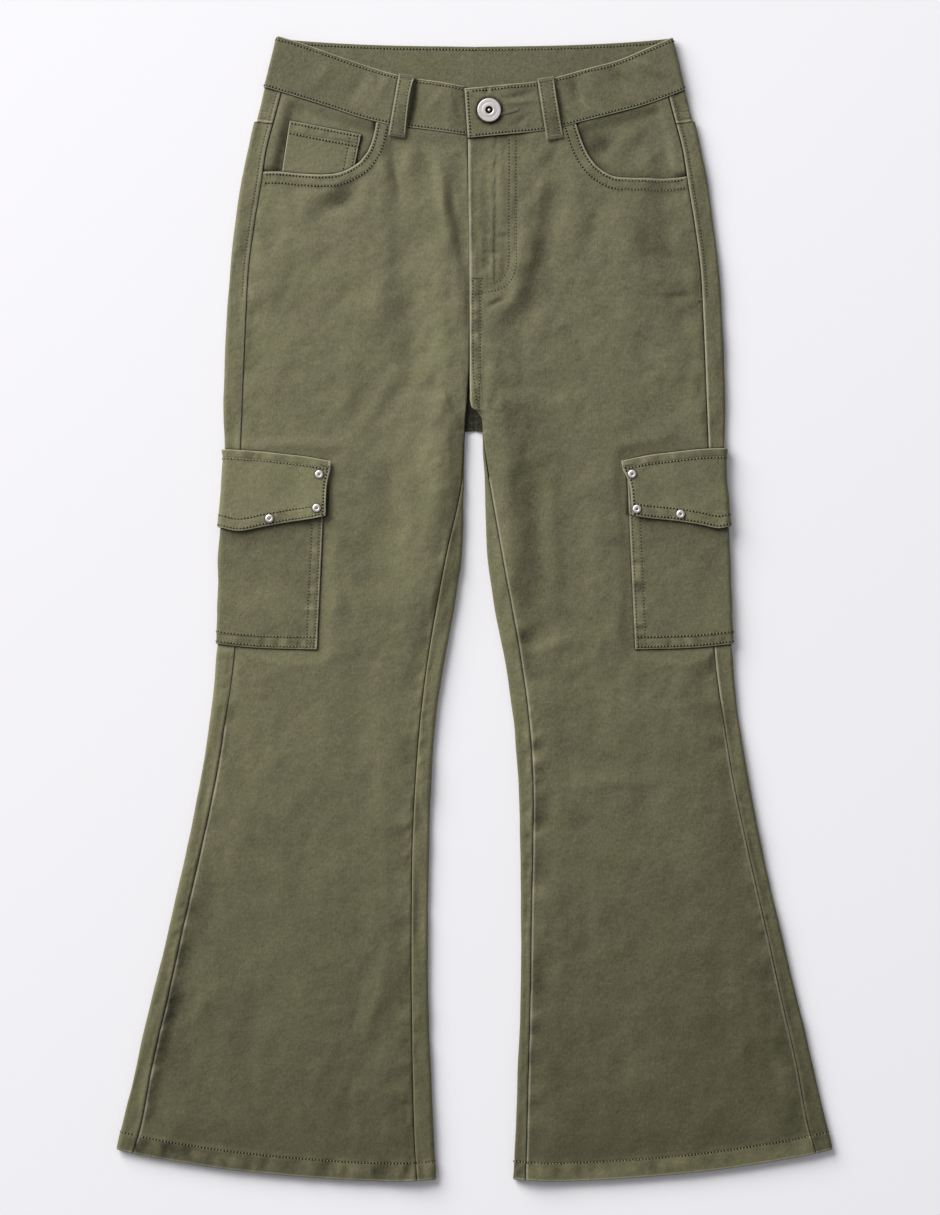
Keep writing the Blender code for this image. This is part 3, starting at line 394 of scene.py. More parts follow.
def crease_height(x, y, table=CREASES):
    """Soft creases that thin out towards both ends and wander a little."""
    height = np.zeros(np.shape(x))
    for k, (x0, y0, x1, y1, half_width, rise) in enumerate(table):
        length = math.hypot(x1 - x0, y1 - y0)
        dx = (x1 - x0) / length
        dy = (y1 - y0) / length
        along = (x - x0) * dx + (y - y0) * dy
        near = (along > -0.3 * length) & (along < 1.3 * length)
        away = (x - x0) * dy - (y - y0) * dx
        near &= np.abs(away) < 5 * half_width
        if not near.any():
            continue
        along = along[near]
        away = away[near] + CREASE_WANDER * noise(along, np.full(along.shape, 7 * k), 22, 40 + k)
        share = np.clip(along / length, -0.3, 1.3)
        thin = ease(1 - np.abs(2 * share - 1) / 1.25) * (0.8 + 0.3 * noise(along, away, 16, 80 + k))
        steep = np.where(away * rise > 0, 0.75, 1.15)
        height[near] += rise * thin * bump(away, half_width * steep)
    return height


def rumple(x, y):
    """The soft unevenness of washed cloth."""
    return (0.9 * turned_noise(x, y, 46, 1) + 0.8 * turned_noise(x, y, 21, 3)
            + 0.4 * turned_noise(x, y * 0.8, 10, 5) + 0.14 * turned_noise(x, y, 5, 7))


def wrinkles(x, y, seed):
    """Short soft wrinkles: crossing ones all over, drawn ones that lean outwards on the low thighs."""
    patchy = 0.7 + 0.7 * noise(x, y, 34, seed + 2)
    height = 0.3 * turned_noise(x, y * 0.8, 8, seed) + 0.16 * turned_noise(x * 0.9, y, 4.6, seed + 1)
    across = x + 0.55 * y
    leaning = zone(y, 120, 190, 60) * noise(across, y * 0.5, 7, seed + 3)
    upright = ease((30 - y) / 60) * noise(x, y * 0.3, 7, seed + 4)
    return patchy * (height + 0.22 * leaning + 0.16 * upright)


def puckers(along, away, reach, seed, size=5.5, slant=0.35):
    """Short ridges that run off a line of sewing, stronger in some places than in others."""
    ridges = noise(along + slant * away, away * 0.25, size, seed)
    ridges += 0.5 * noise(along - slant * away, away * 0.4, size * 0.55, seed + 1)
    return ridges * (0.65 + 0.5 * noise(along, along * 0, 48, seed + 2)) * bump(away, reach)


def line_through(points, step=1, smooth=True):
    """A smooth line through points, or straight runs between them, with a point about every step."""
    points = np.array(points, float)
    runs = np.concatenate([[0], np.cumsum(np.linalg.norm(np.diff(points, axis=0), axis=1))])
    at = np.linspace(0, runs[-1], max(2, int(runs[-1] / step) + 1))
    if smooth:
        return joined(*(spline(list(zip(runs, values)))(at) for values in points.T))
    return joined(*(np.interp(at, runs, values) for values in points.T))


def tack_line(points):
    """The straight line of a bar tack."""
    return line_through(points, 0.3, False)


def beside(line, distance):
    """The line moved sideways, to the left of its direction."""
    along = np.gradient(line[:, :2], axis=0)
    along /= np.linalg.norm(along, axis=1)[:, None]
    return line[:, :2] + distance * joined(-along[:, 1], along[:, 0])


# --- the garment's lines and heights ---

class Side:
    """One half of the garment, with the functions that give its lines and heights."""

    def __init__(self, name, sign, column):
        self.name = name
        self.sign = sign
        self.left = sign < 0
        self.right = sign > 0
        self.column = column
        self.outer, self.outseam, self.hem, self.yoke_seam, self.back_band_top, self.pocket_bottom = (
            spline(table) for table in (OUTER_FOLD, OUTSEAM, HEM_EDGE, YOKE_SEAM, BACK_BAND, POCKET_BOTTOM))
        self.inner, self.inner_seam, self.band_bottom, self.band_top = (
            spline(table, column) for table in (INNER_FOLD, INNER_SEAM, BAND_BOTTOM, BAND_TOP))
        self.back_band_bottom = spline(BACK_BAND, 2)
        pick = 2 * (column - 1)
        self.mouth = [(row[pick], row[pick + 1]) for row in POCKET_MOUTH]
        self.flap_top = spline([(row[pick], row[pick + 1]) for row in FLAP_TOP])
        self.flap_bottom = spline([(row[pick], row[pick + 1]) for row in FLAP_BOTTOM])
        self.flap_inner = FLAP_INNER[column - 1]
        self.pocket_inner = POCKET_INNER[column - 1]

    def world(self, points):
        """Points of this side, from |x|, y and z in millimetres to the frame's metres."""
        points = np.asarray(points, float)
        return (points * (self.sign, 1, 1) - (0, CENTRE_Y, 0)) * MM

    def band_y(self, x, share, under):
        """The waistband at |x|: share 0 at its lower edge, 1 at its upper; under 0 front, 1 back."""
        front = mix(self.band_bottom(x), self.band_top(x), share)
        if self.left:
            over = mix(RIGHT.band_bottom(-x), RIGHT.band_top(-x), share)
            front = mix(front, over, ease(-x / UNDERLAP_BLEND))
        back = mix(self.back_band_bottom(x), self.back_band_top(x), share)
        return mix(front, back, under)

    def layers(self, y):
        """Height of the flap's and the pocket's cloth under the leg at this y."""
        return LAYER * (zone(y, *FLAP_ZONE, ZONE_RAMP) + zone(y, *POCKET_ZONE, ZONE_RAMP))

    def floor(self, x, y):
        """Middle of the lower cloth."""
        lift = self.layers(y) * rising(x, LAYER_UNDER_X)
        near = ease(1 - (self.back_band_bottom(x) - y) / BAND_RAMP)
        return FLOOR_MID + lift + (BAND_BACK_MID - FLOOR_MID) * near

    def top(self, x, y):
        """Middle of the upper cloth, before its folds."""
        lift = self.layers(y) * rising(x, LAYER_TOP_X)
        hip = HIP_RISE * rising(y, HIP_RISE_Y)
        low = TOP_MID + LAYERS_TOP_SHARE * lift + hip
        near = ease(1 - (self.band_bottom(x) - y) / BAND_RAMP)
        return mix(low, BAND_FRONT_MID, near)

    def front_top(self, x, y):
        """The same for the front panel, with its rise over the hip pocket and its folds."""
        rise = POCKET_RISE * ease(2 - 2 * from_line(x, y, self.mouth) / POCKET_RISE_REACH)
        rise = rise * ease((self.outseam(y) - x) / FACING_RAMP)
        clear = 1 - rising(x, LAYER_TOP_X) * zone(y, POCKET_ZONE[0], FLAP_ZONE[1], ZONE_RAMP)
        edge = ease((self.outseam(y) - x) / FACING_RAMP)
        edge = edge * ease((x - self.inner_seam(y)) / FACING_RAMP)
        edge = edge * ease((self.band_bottom(x) - y) / BAND_RAMP)
        return self.top(x, y) + rise + fold_height(self.sign * x, y) * clear * edge

    def outer_arc(self, y, turn):
        """Point on the outer fold, from the top (turn 0) round to the floor (turn 1)."""
        edge = self.outer(y)
        high = self.top(edge, y)
        low = self.floor(edge, y)
        radius = (high - low) / 2
        angle = math.pi * turn
        return edge - radius + radius * np.sin(angle), (high + low) / 2 + radius * np.cos(angle)

    def curl_radius(self, y):
        return (self.top(self.inner(y), y) - self.floor(self.inner(y), y)) / 2

    def curl_start(self, y):
        """|x| on the floor where the back panel's inner strip begins to curl up."""
        rounded = self.inner(y) + self.curl_radius(y)
        return np.where(y < CROTCH_Y, rounded, CURL_FLAT + BACK_MEETING)

    def curl_length(self, y):
        """Run of the back panel's cloth from the start of the curl to the inseam."""
        held = np.minimum(y, INSEAM_TOP_Y)
        radius = self.curl_radius(held)
        length = math.pi * radius + self.inner_seam(held) - self.inner(held) - radius - SEAM_GAP / 2
        crotch_length = math.radians(CROTCH_TURN) * radius
        share = np.maximum(0, (y - INSEAM_TOP_Y) / (CROTCH_Y - INSEAM_TOP_Y))
        return np.where(y >= CROTCH_Y, CURL_FLAT, mix(length, crotch_length, share))

    def droop(self, y):
        sag = DROOP * ease((DROOP_FROM_Y - y) / (DROOP_FROM_Y - CROTCH_Y))
        return np.where(y >= CROTCH_Y, sag, 0)

    def curl_point(self, y, run):
        """Point of the curl after this run along the cloth, and its direction there."""
        start = self.curl_start(y)
        floor = self.floor(start, y)
        radius = self.curl_radius(y)
        angle = np.minimum(run / radius, math.pi)
        straight = np.maximum(0, run - math.pi * radius)
        x = start - radius * np.sin(angle) + straight
        z = np.where(angle >= math.pi, self.top(x, y), floor + radius * (1 - np.cos(angle)))
        flat = y >= CROTCH_Y
        return (np.where(flat, start - run, x), np.where(flat, floor, z),
                np.where(flat, -1, -np.cos(angle)), np.where(flat, 0, np.sin(angle)))


LEFT = Side("left", -1, 1)
RIGHT = Side("right", 1, 2)
SIDES = (LEFT, RIGHT)


# --- building shells ---

def subdivided(values, counts):
    """A rising or falling list with each interval cut into so many steps."""
    parts = [np.linspace(a, b, n + 1)[:-1] for a, b, n in zip(values, values[1:], counts)]
    return np.concatenate(parts + [[values[-1]]])


def with_rims(values, width):
    """The list with two more values close inside each end."""
    inner = values[(values > values[0] + 3.2 * width) & (values < values[-1] - 3.2 * width)]
    return np.concatenate([[values[0], values[0] + width, values[0] + 2.6 * width], inner,
                           [values[-1] - 2.6 * width, values[-1] - width, values[-1]]])


def rimmed(count, width):
    """Shares from 0 to 1, with two more close inside each end."""
    return with_rims(np.linspace(0, 1, count), width)


def grid_normals(grid, flip):
    """Unit normals of a grid of points, on the shell's outer side."""
    down = np.gradient(grid, axis=0)
    across = np.gradient(grid, axis=1)
    normals = np.cross(across, down) * (-1 if flip else 1)
    return normals / np.maximum(np.linalg.norm(normals, axis=2), 1e-9)[..., None]


def running(grid):
    """Length of the cloth along each row, from its first point."""
    steps = np.linalg.norm(np.diff(grid, axis=1), axis=2)
    return np.concatenate([np.zeros((len(grid), 1)), np.cumsum(steps, axis=1)], axis=1)


def rim_drop(rows, columns):
    """How far the points along a shell's rim sink, so that its edge looks rounded."""
    drop = np.zeros((rows, columns))
    drop[0, :] = drop[-1, :] = drop[:, 0] = drop[:, -1] = RIM_DROP
    return drop


def picks(count, step, also=()):
    """Every step-th index, with the last one and these."""
    return sorted(set(range(0, count, step)) | {count - 1} | set(also))


def lowest_near(values, reach):
    """The lowest value within so many points of each."""
    for axis in (0, 1):
        around = [(0, 0), (0, 0)]
        around[axis] = (reach, reach)
        padded = np.pad(values, around, "edge")
        near = np.lib.stride_tricks.sliding_window_view(padded, 2 * reach + 1, axis)
        values = near.min(axis=-1)
    return values


def add_piece(name, points, faces, finish):
    mesh = bpy.data.meshes.new(name)
    mesh.from_pydata(points, [], faces)
    mesh.update()
    mesh.shade_smooth()
    mesh.materials.append(finish)
    piece = bpy.data.objects.new(name, mesh)
    bpy.context.scene.collection.objects.link(piece)
    return piece


def quads(numbers):
    """The faces between neighbours in a grid of point numbers."""
    corners = (numbers[:-1, :-1], numbers[:-1, 1:], numbers[1:, 1:], numbers[1:, :-1])
    return np.stack(corners, axis=-1).reshape(-1, 4).tolist()


def shell(name, side, grid, relief, marks, flip, cloth=CLOTH, extra=None, coarse=COARSE,
          inner_relief=None, drop=None, step_row=None, flat_end=False):
    """A closed thin shell round a grid of middle points, fine on its outer face.

    relief raises the outer face, extra thickens the inside, and marks are kept for the material.
    flip is for a grid whose columns and rows turn its normals inwards on the right side.
    The surface steps between step_row and the next row, and flat_end keeps the last rim unrounded.
    """
    rows, columns = grid.shape[:2]
    normals = grid_normals(grid, flip)
    also = ()
    if step_row is not None:
        also = (step_row, step_row + 1)
        normals[step_row] = normals[step_row - 2]
        normals[step_row + 1] = normals[step_row + 3]
    drop = rim_drop(rows, columns) if drop is None else drop
    outer = grid + normals * (cloth / 2 + relief - drop)[..., None]
    keep_rows = picks(rows, coarse, also)
    keep_columns = picks(columns, coarse)
    small = grid[np.ix_(keep_rows, keep_columns)]
    depth = np.full((rows, columns), cloth / 2) - drop
    if extra is not None:
        depth = depth + extra
    if inner_relief is None:
        low = lowest_near(relief, coarse)
        inner_relief = np.where(low < 0, np.minimum(low + LEAST_CLOTH, 0), low)
    depth = depth - inner_relief
    small = small - (normals * depth[..., None])[np.ix_(keep_rows, keep_columns)]
    numbers = np.arange(rows * columns).reshape(rows, columns)
    below = rows * columns + np.arange(small[..., 0].size).reshape(small.shape[:2])
    faces = quads(numbers) + [[a, d, c, b] for a, b, c, d in quads(below)]
    for kept, borders in (
            (keep_columns, ((numbers[0], below[0], -1), (numbers[-1], below[-1], 1))),
            (keep_rows, ((numbers[:, 0], below[:, 0], 1), (numbers[:, -1], below[:, -1], -1)))):
        for k, (a, b) in enumerate(zip(kept, kept[1:])):
            for line, other, way in borders:
                faces.append(line[a:b + 1][::way].tolist() + other[k:k + 2][::-way].tolist())
    if flip != side.left:
        faces = [face[::-1] for face in faces]
    points = np.concatenate([outer.reshape(-1, 3), small.reshape(-1, 3)])
    piece = add_piece(name, side.world(points).tolist(), faces, material("olive_twill"))
    flat = []
    if flat_end:
        flat += range(len(faces) - 1, len(faces) - 2 * len(keep_rows) + 2, -2)
    if step_row is not None:
        steep = np.abs(outer[step_row + 1, :, 2] - outer[step_row, :, 2]) > 0.3
        flat += [step_row * (columns - 1) + j for j in range(columns - 1) if steep[j] or steep[j + 1]]
    sharp = set()
    for k in flat:
        piece.data.polygons[k].use_smooth = False
        sharp.update(piece.data.polygons[k].edge_keys)
    for edge in piece.data.edges if sharp else ():
        edge.use_edge_sharp = edge.key in sharp
    run = running(grid)
    maps = joined(run, grid[..., 1]) * MM
    maps = np.concatenate([maps.reshape(-1, 2), maps[np.ix_(keep_rows, keep_columns)].reshape(-1, 2)])
    add_cloth_map(piece, maps)
    unmarked = np.full(below.size, FAR)
    # the hidden face gets no marks but marks.inside, its painted shade
    inside = marks.inside[np.ix_(keep_rows, keep_columns)].reshape(-1)
    for key in ("shade", "edge", "gap", "rows", "cross_rows"):
        values = np.broadcast_to(getattr(marks, key), (rows, columns)).reshape(-1)
        add_mark(piece, key, np.concatenate([values, inside if key == "shade" else unmarked]))
    return piece, outer


def add_cloth_map(piece, places):
    """The weave's own map, in metres along and across the cloth."""
    mesh = piece.data
    corners = np.empty(len(mesh.loops), np.int32)
    mesh.loops.foreach_get("vertex_index", corners)
    layer = mesh.uv_layers.new(name="cloth")
    layer.uv.foreach_set("vector", places[corners].astype(np.float32).ravel())


def add_mark(piece, name, values):
    layer = piece.data.attributes.new(name, "FLOAT", "POINT")
    layer.data.foreach_set("value", values.astype(np.float32))


# --- rows and sections ---

BEND_TOP_FRONT = 262
BEND_TOP_BACK = 300
LAST_LEVEL = -372
ROW_STEP = 1.5
FRONT_STEPS = (10, 7, 6, 5, 5, 5, 5, 5, 5, 5, 9, 9, 8, 6, 5)


def leg_row_functions(side, first, step=ROW_STEP):
    """The rows from a level down the leg: level ones, then ones that lean into the hem."""
    levels = np.arange(first, LAST_LEVEL, -step)
    rows = [lambda x, under, y=y: np.full(np.shape(x), y) for y in levels]
    for share in np.linspace(0, 1, 13)[:-1]:
        rows.append(lambda x, under, share=share: mix(LAST_LEVEL, side.hem(x) + HEM_DEPTH, share))
    for height in with_rims(np.linspace(HEM_DEPTH, 0, 12)[::-1], RIM)[::-1]:
        rows.append(lambda x, under, height=height: side.hem(x) + height)
    return rows


def hem_extra(rows):
    """The turned-up cloth inside the hem: it covers the rows that are parallel to its edge."""
    extra = np.zeros((rows, 1))
    extra[-13:] = HEM_EXTRA
    return extra


def meet_curl(side, x, y, z, inner):
    """Bends the inner end of a front row down to the back panel's edge on the inner fold."""
    level = float(y[-1])
    if not INSEAM_TOP_Y <= level < CROTCH_Y:
        return x, z
    back_x, back_z, dx, dz = side.curl_point(level, side.curl_length(level))
    end_x = back_x + dx * CROTCH_GAP
    end_z = back_z + dz * CROTCH_GAP
    start_x = end_x + CURL_BLEND
    start_z = side.top(start_x, level)
    t = np.clip((start_x - x) / (start_x - inner), 0, 1)
    a = 2 * t ** 3 - 3 * t ** 2 + 1
    b = (t ** 3 - 2 * t ** 2 + t) * CURL_BLEND
    c = 3 * t ** 2 - 2 * t ** 3
    d = (t ** 3 - t ** 2) * CURL_BLEND * END_PULL
    bent = t > 0
    x = np.where(bent, a * start_x - b + c * end_x - d * dx, x)
    z = np.where(bent, a * start_z + c * end_z - d * dz, z)
    return x, z


def front_grid(side):
    """Middle points of the front panel, from its top edge to the hem."""
    shares = with_rims(subdivided(MOUTH_SHARES + FRONT_TOP_SHARES + (1,), FRONT_STEPS), 0.003)
    mouth = list(side.mouth)
    mouth[0] = (side.outseam(mouth[0][1]) - SEAM_GAP / 2, mouth[0][1])
    mouth[-1] = (mouth[-1][0], side.band_bottom(mouth[-1][0]) - SEAM_GAP)
    centre = side.inner_seam(346) + SEAM_GAP / 2
    along_band = (MOUTH_SHARES[-1],) + FRONT_TOP_SHARES + (1,)
    band_x = np.interp(shares, along_band, (mouth[-1][0],) + FRONT_TOP_X + (centre,))
    mouth_x = spline([(share, point[0]) for share, point in zip(MOUTH_SHARES, mouth)])(shares)
    mouth_y = spline([(share, point[1]) for share, point in zip(MOUTH_SHARES, mouth)])(shares)
    on_mouth = shares <= MOUTH_SHARES[-1]
    edge_x = np.where(on_mouth, mouth_x, band_x)
    edge_y = np.where(on_mouth, mouth_y, side.band_bottom(band_x) - SEAM_GAP)
    low_outer = side.outseam(BEND_TOP_FRONT) - SEAM_GAP / 2
    low_inner = side.inner_seam(BEND_TOP_FRONT) + SEAM_GAP / 2
    rows = []
    for level in rimmed(58, 0.006)[::-1][:-1]:
        y = mix(BEND_TOP_FRONT, edge_y, level)
        x = mix(mix(low_outer, low_inner, shares), edge_x, level)
        outer = side.outseam(y) - SEAM_GAP / 2
        keep = ease((1 - level) * 20)
        x = x + keep * (outer - mix(low_outer, edge_x[0], level)) * (1 - shares) ** 4
        rows.append(joined(x, y, side.front_top(x, y)))
    for y_of in leg_row_functions(side, BEND_TOP_FRONT):
        y = y_of(np.full(shares.shape, 120), 0)
        for _ in range(4):
            inner = side.inner_seam(y) + SEAM_GAP / 2
            x = mix(side.outseam(y) - SEAM_GAP / 2, inner, shares)
            y = y_of(x, 0)
        z = side.front_top(x, y) - side.droop(y) * ease(1 - (x - inner) / CURL_BLEND)
        x, z = meet_curl(side, x, y, z, inner)
        rows.append(joined(x, y, z))
    return np.array(rows)


def back_line(side, y_of, fine):
    """One section of a back piece, from the outseam over the outer fold to its inner edge."""
    fold_y = float(y_of(np.array(160), 0.5))
    for _ in range(3):
        fold_y = float(y_of(side.outer(fold_y), 0.5))
    seam_x = side.outseam(fold_y)
    for _ in range(3):
        seam_x = side.outseam(y_of(seam_x, 0)) + SEAM_GAP / 2
    fold_x, _ = side.outer_arc(fold_y, 0)
    strip = mix(seam_x, fold_x, np.concatenate([[0], np.linspace(0, 1, fine[0])[:-1] + 0.04]))
    strip_y = y_of(strip, 0)
    arc = np.linspace(0, 1, fine[1])
    arc_x, arc_z = side.outer_arc(fold_y, arc)
    inner_y = float(y_of(side.curl_start(float(y_of(np.array(60), 1))), 1))
    start = side.curl_start(inner_y)
    under = mix(fold_x, start, np.linspace(0, 1, fine[2])[1:-1])
    under_y = y_of(under, 1)
    runs = side.curl_length(inner_y) * rimmed(fine[3], 0.02)
    curl_x, curl_z, _, _ = side.curl_point(inner_y, runs)
    x = np.concatenate([strip, arc_x, under, curl_x])
    y = np.concatenate([strip_y, y_of(arc_x, arc), under_y, y_of(curl_x, 1)])
    z = np.concatenate([side.top(strip, strip_y), arc_z, side.floor(under, under_y), curl_z])
    return joined(x, y, z)


BACK_FINE = (9, 10, 28, 15)
YOKE_FINE = (9, 10, 34, 8)


def back_grid(side):
    """Middle points of the back panel, from the yoke seam to the hem."""
    def leaning(level):
        return lambda x, under: mix(BEND_TOP_BACK, side.yoke_seam(x) - SEAM_GAP / 2, level)

    def flat(level):
        return lambda x, under: np.full(np.shape(x), level)

    functions = [leaning(level) for level in rimmed(26, 0.01)[::-1][:-1]]
    crotch = None
    for y_of in leg_row_functions(side, BEND_TOP_BACK):
        if crotch is None and float(y_of(np.array(60), 1)) <= CROTCH_LOW_Y:
            crotch = len(functions)
            functions += [flat(CROTCH_Y), flat(CROTCH_LOW_Y)]
        else:
            functions.append(y_of)
    return np.array([back_line(side, y_of, BACK_FINE) for y_of in functions]), crotch


def yoke_grid(side):
    """Middle points of the back yoke, from the waistband to the yoke seam."""
    def leaning(share):
        return lambda x, under: mix(side.band_y(x, 0, under) - SEAM_GAP,
                                    side.yoke_seam(x) + SEAM_GAP / 2, share)

    return np.array([back_line(side, leaning(share), YOKE_FINE) for share in rimmed(26, 0.012)])


def band_front_mid(side, x):
    """Middle of the front waistband: the right end rides over the left one."""
    if side.left:
        return mix(BAND_UNDER_MID, BAND_FRONT_MID, ease((x - 5) / (OVERLAP_CLEAR - 5)))
    return mix(BAND_OVER_MID, BAND_FRONT_MID, ease((x - OVERLAP_END) / (OVERLAP_CLEAR - OVERLAP_END)))


def band_grid(side):
    """Rows down the waistband's height; columns from the centre front round to the centre back."""
    rows = []
    radius = (BAND_FRONT_MID - BAND_BACK_MID) / 2
    for share in rimmed(31, 0.012)[::-1]:
        fold = mix(BAND_FOLD[0], BAND_FOLD[1], share)
        end = mix(BAND_END[0], BAND_END[1], share) if side.right else UNDERLAP_X
        x = with_rims(np.linspace(end, fold - radius, 118), RIM)[:-2]
        front = joined(x, side.band_y(x, share, 0), band_front_mid(side, x))
        turn = np.linspace(0, 1, 11)
        x = fold - radius + radius * np.sin(math.pi * turn)
        z = (BAND_FRONT_MID + BAND_BACK_MID) / 2 + radius * np.cos(math.pi * turn)
        around = joined(x, side.band_y(x, share, turn), z)
        x = np.linspace(BACK_MEETING, fold - radius, 72)[::-1][1:]
        back = joined(x, side.band_y(x, share, 1), np.full(x.shape, BAND_BACK_MID))
        rows.append(np.concatenate([front, around, back]))
    return np.array(rows)


def facing_mid(side, x, y):
    """Middle of the hip pocket's facing: level inside, climbing to the outseam and the waistband."""
    rise = ease(1 - (side.outseam(y) - x - 5) / 8) * ease((y - side.mouth[0][1] + 0.5) / 4)
    low = mix(FACING_MID, side.top(x, y), rise)
    near = ease(1 - (side.band_bottom(x) - y) / FACING_RAMP)
    near = near * ease((x - side.mouth[-1][0] - 0.3) / 3)
    return mix(low, BAND_FRONT_MID, near)


def facing_grid(side):
    bottom = spline(FACING_BOTTOM)
    shares = rimmed(66, 0.005)
    rows = []
    for level in rimmed(40, 0.007):
        x = mix(side.outseam(365), FACING_INNER_X, shares)
        for _ in range(3):
            y = mix(side.band_bottom(x) - SEAM_GAP, bottom(shares), level)
            x = mix(side.outseam(y) - FACING_EDGE_GAP, FACING_INNER_X, shares)
        rows.append(joined(x, y, facing_mid(side, x, y)))
    return np.array(rows)


def coin_grid(side):
    """Middle of the coin pocket's patch, on the facing."""
    (x0, y0), (x1, y1), (x2, y2), (x3, y3) = COIN_CORNERS
    down, across = np.meshgrid(rimmed(42, 0.008),
                               rimmed(44, 0.008), indexing="ij")
    x = -mix(mix(x0, x1, across), mix(x2, x3, across), down)
    y = mix(mix(y0, y1, across), mix(y2, y3, across), down)
    return joined(x, y, facing_mid(side, x, y) + LAYER)


def wrapped_line(side, y, inner_x, y_at):
    """A section that lies over the leg: top from inner_x, round the outer fold, then underneath."""
    fold_x, _ = side.outer_arc(y, 0)
    x = with_rims(np.linspace(inner_x, fold_x, 50), RIM)[:-2]
    top = joined(x, y_at(x), side.top(x, y_at(x)))
    arc_x, arc_z = side.outer_arc(y, np.linspace(0, 1, 11))
    around = joined(arc_x, y_at(arc_x), arc_z)
    x = np.linspace(fold_x, UNDER_INNER, 14)[1:]
    below = joined(x, y_at(x), side.floor(x, y_at(x)))
    return np.concatenate([top, around, below])


def pocket_grid(side):
    bottom = side.pocket_bottom(120)
    rows = []
    for down in rimmed(92, 0.004):
        def y_at(x, down=down):
            return mix(POCKET_TOP_Y, mix(bottom, side.pocket_bottom(x), down ** 3), down)
        y = float(y_at(side.outer(-25)))
        rows.append(wrapped_line(side, y, side.pocket_inner + POCKET_SPREAD * down, y_at))
    return np.array(rows)


def flap_grid(side):
    rows = []
    for level in rimmed(42, 0.009):
        def y_at(x, level=level):
            return mix(side.flap_top(x), side.flap_bottom(x), level)
        swing = float(spline(FLAP_SWING)(level)) * (2 if side.right else 1)
        rows.append(wrapped_line(side, float(y_at(side.outer(90))), side.flap_inner + swing, y_at))
    return np.array(rows)


# --- relief and marks: what the solids leave out ---

FAR = 99
FADE = 6  # a mark fades out by moving this far away
FURROW = 0.16  # how far a row of sewing sinks into the cloth
FURROW_WIDTH = 0.9
SEAM_REACH = 5  # how far puckers run from a seam
STRONG_LEFT_SEAM = (-390, -235)
STRONG_RIGHT_SEAM = (-300, 10)
LIT_FRONT_SEAM = (-385, -90)  # where the front panel's outer edge catches the light
SWELL = 4.8  # the inner thighs' soft roundness
SWELL_ZONE = (50, 115)
# painted light and shade of the larger folds, with lighter worn places: x0, y0, x1, y1, half width, tone
FOLD_SHADE_AND_WEAR = (
    (-84, 316, -66, 208, 38, 0.28), (-31, 258, -29, 0, 15, 0.8), (-12, 258, -9, 140, 9, 0.34),
    (26, 192, 30, 84, 12, -0.85), (34, 124, 48, 14, 14, -0.32), (75, 96, 74, -6, 11, 0.32),
    (12, 312, 12, 250, 8, -0.58), (33, 284, 28, 220, 7, 0.6), (51, 298, 52, 212, 8, -0.52),
    (40, 232, 20, 182, 9, -0.5), (93, 352, 92, 332, 11, -1.1), (136, 356, 134, 204, 11, -0.5),
    (155, 226, 154, 100, 11, 0.5), (-97, 310, -86, 292, 10, -0.5), (-136, 324, -134, 226, 13, 0.22),
    (-176, -40, -186, -168, 13, -0.28), (-190, -140, -206, -300, 12, -0.56),
    (-208, -268, -221, -362, 11, -0.85), (-152, -60, -166, -318, 24, -0.16),
    (-95, -150, -95, -310, 28, -0.14), (-51, -70, -48, -306, 10, 0.5), (-108, 10, -192, 5, 20, 0.42),
    (124, -8, 208, -10, 13, 0.3), (193, 92, 192, -52, 12, 0.36), (28, -130, 152, -131, 9, 0.28),
    (190, -366, 222, -384, 13, 0.5),
)
LOW_SWELL = 1.3


class Marks:
    """What the material draws on a piece: distances in millimetres, kept at its points."""

    def __init__(self, shape):
        # shade is painted light and shade: lighter on ridges, darker in grooves, beside seams and under
        # other pieces, with some plain tone; inside is the painted shade of the hidden face
        self.shade = np.zeros(shape)
        self.inside = np.zeros(shape)
        self.edge = np.full(shape, FAR)
        self.gap = np.full(shape, FAR)
        self.rows = np.full(shape, FAR)
        self.cross_rows = np.full(shape, FAR)

    def edge_at(self, away, where=1):
        """A pressed edge, which catches the light."""
        self.edge = np.minimum(self.edge, np.abs(away) + FADE * (1 - where))

    def gap_at(self, away, where=1):
        """A painted shadow line beside another piece's edge."""
        self.gap = np.minimum(self.gap, np.abs(away) + FADE * (1 - where))

    def rows_at(self, away, places, where=1, cross=False):
        """Rows of sewing at these distances from an edge, as one value that is 0 on each of them."""
        value = away - places[0]
        if len(places) == 2:
            value = value * (places[1] - away) / (places[1] - places[0])
        value = np.where(where > 0.5, value, FAR)
        key = "cross_rows" if cross else "rows"
        kept = getattr(self, key)
        setattr(self, key, np.where(np.abs(value) < np.abs(kept), value, kept))


def opened(grid):
    """New marks for a grid, its x and y, and the runs of cloth along its rows."""
    return Marks(grid.shape[:2]), grid[..., 0], grid[..., 1], running(grid)


def downwards(grid, first, last):
    """A value that changes evenly from a grid's first row to its last."""
    return np.linspace(first, last, len(grid))[:, None] + np.zeros(grid.shape[:2])


def seam_strength(side, y, seam):
    """How hard a leg seam draws the cloth up at this y: some stretches are tighter than others."""
    strength = 0.5 + 0.35 * ease((-20 - y) / 60)
    if side.left and seam == "out":
        strength = strength + 0.45 * zone(y, *STRONG_LEFT_SEAM, 40)
    if side.right and seam == "in":
        strength = strength + 0.4 * zone(y, *STRONG_RIGHT_SEAM, 40)
    return strength


def seam_puckers(side, y, away, seam, seed):
    """What a leg seam draws up beside it; the seam's very line stays flat."""
    strength = seam_strength(side, y, seam) * ease(away / 3)
    return strength * puckers(y, away, SEAM_REACH, seed + side.column)


def hem_puckers(along, above_hem, seed):
    """What the hem's row of sewing draws up, and nothing far above it."""
    return ease((HEM_DEPTH + 6 - above_hem) / 8) * puckers(along, above_hem - 7, 8, seed, 5.5, 0.25)


def hem_step(above_hem):
    """The step where the turned-up cloth ends."""
    return 0.3 * ease((HEM_DEPTH - above_hem) / 1.6)


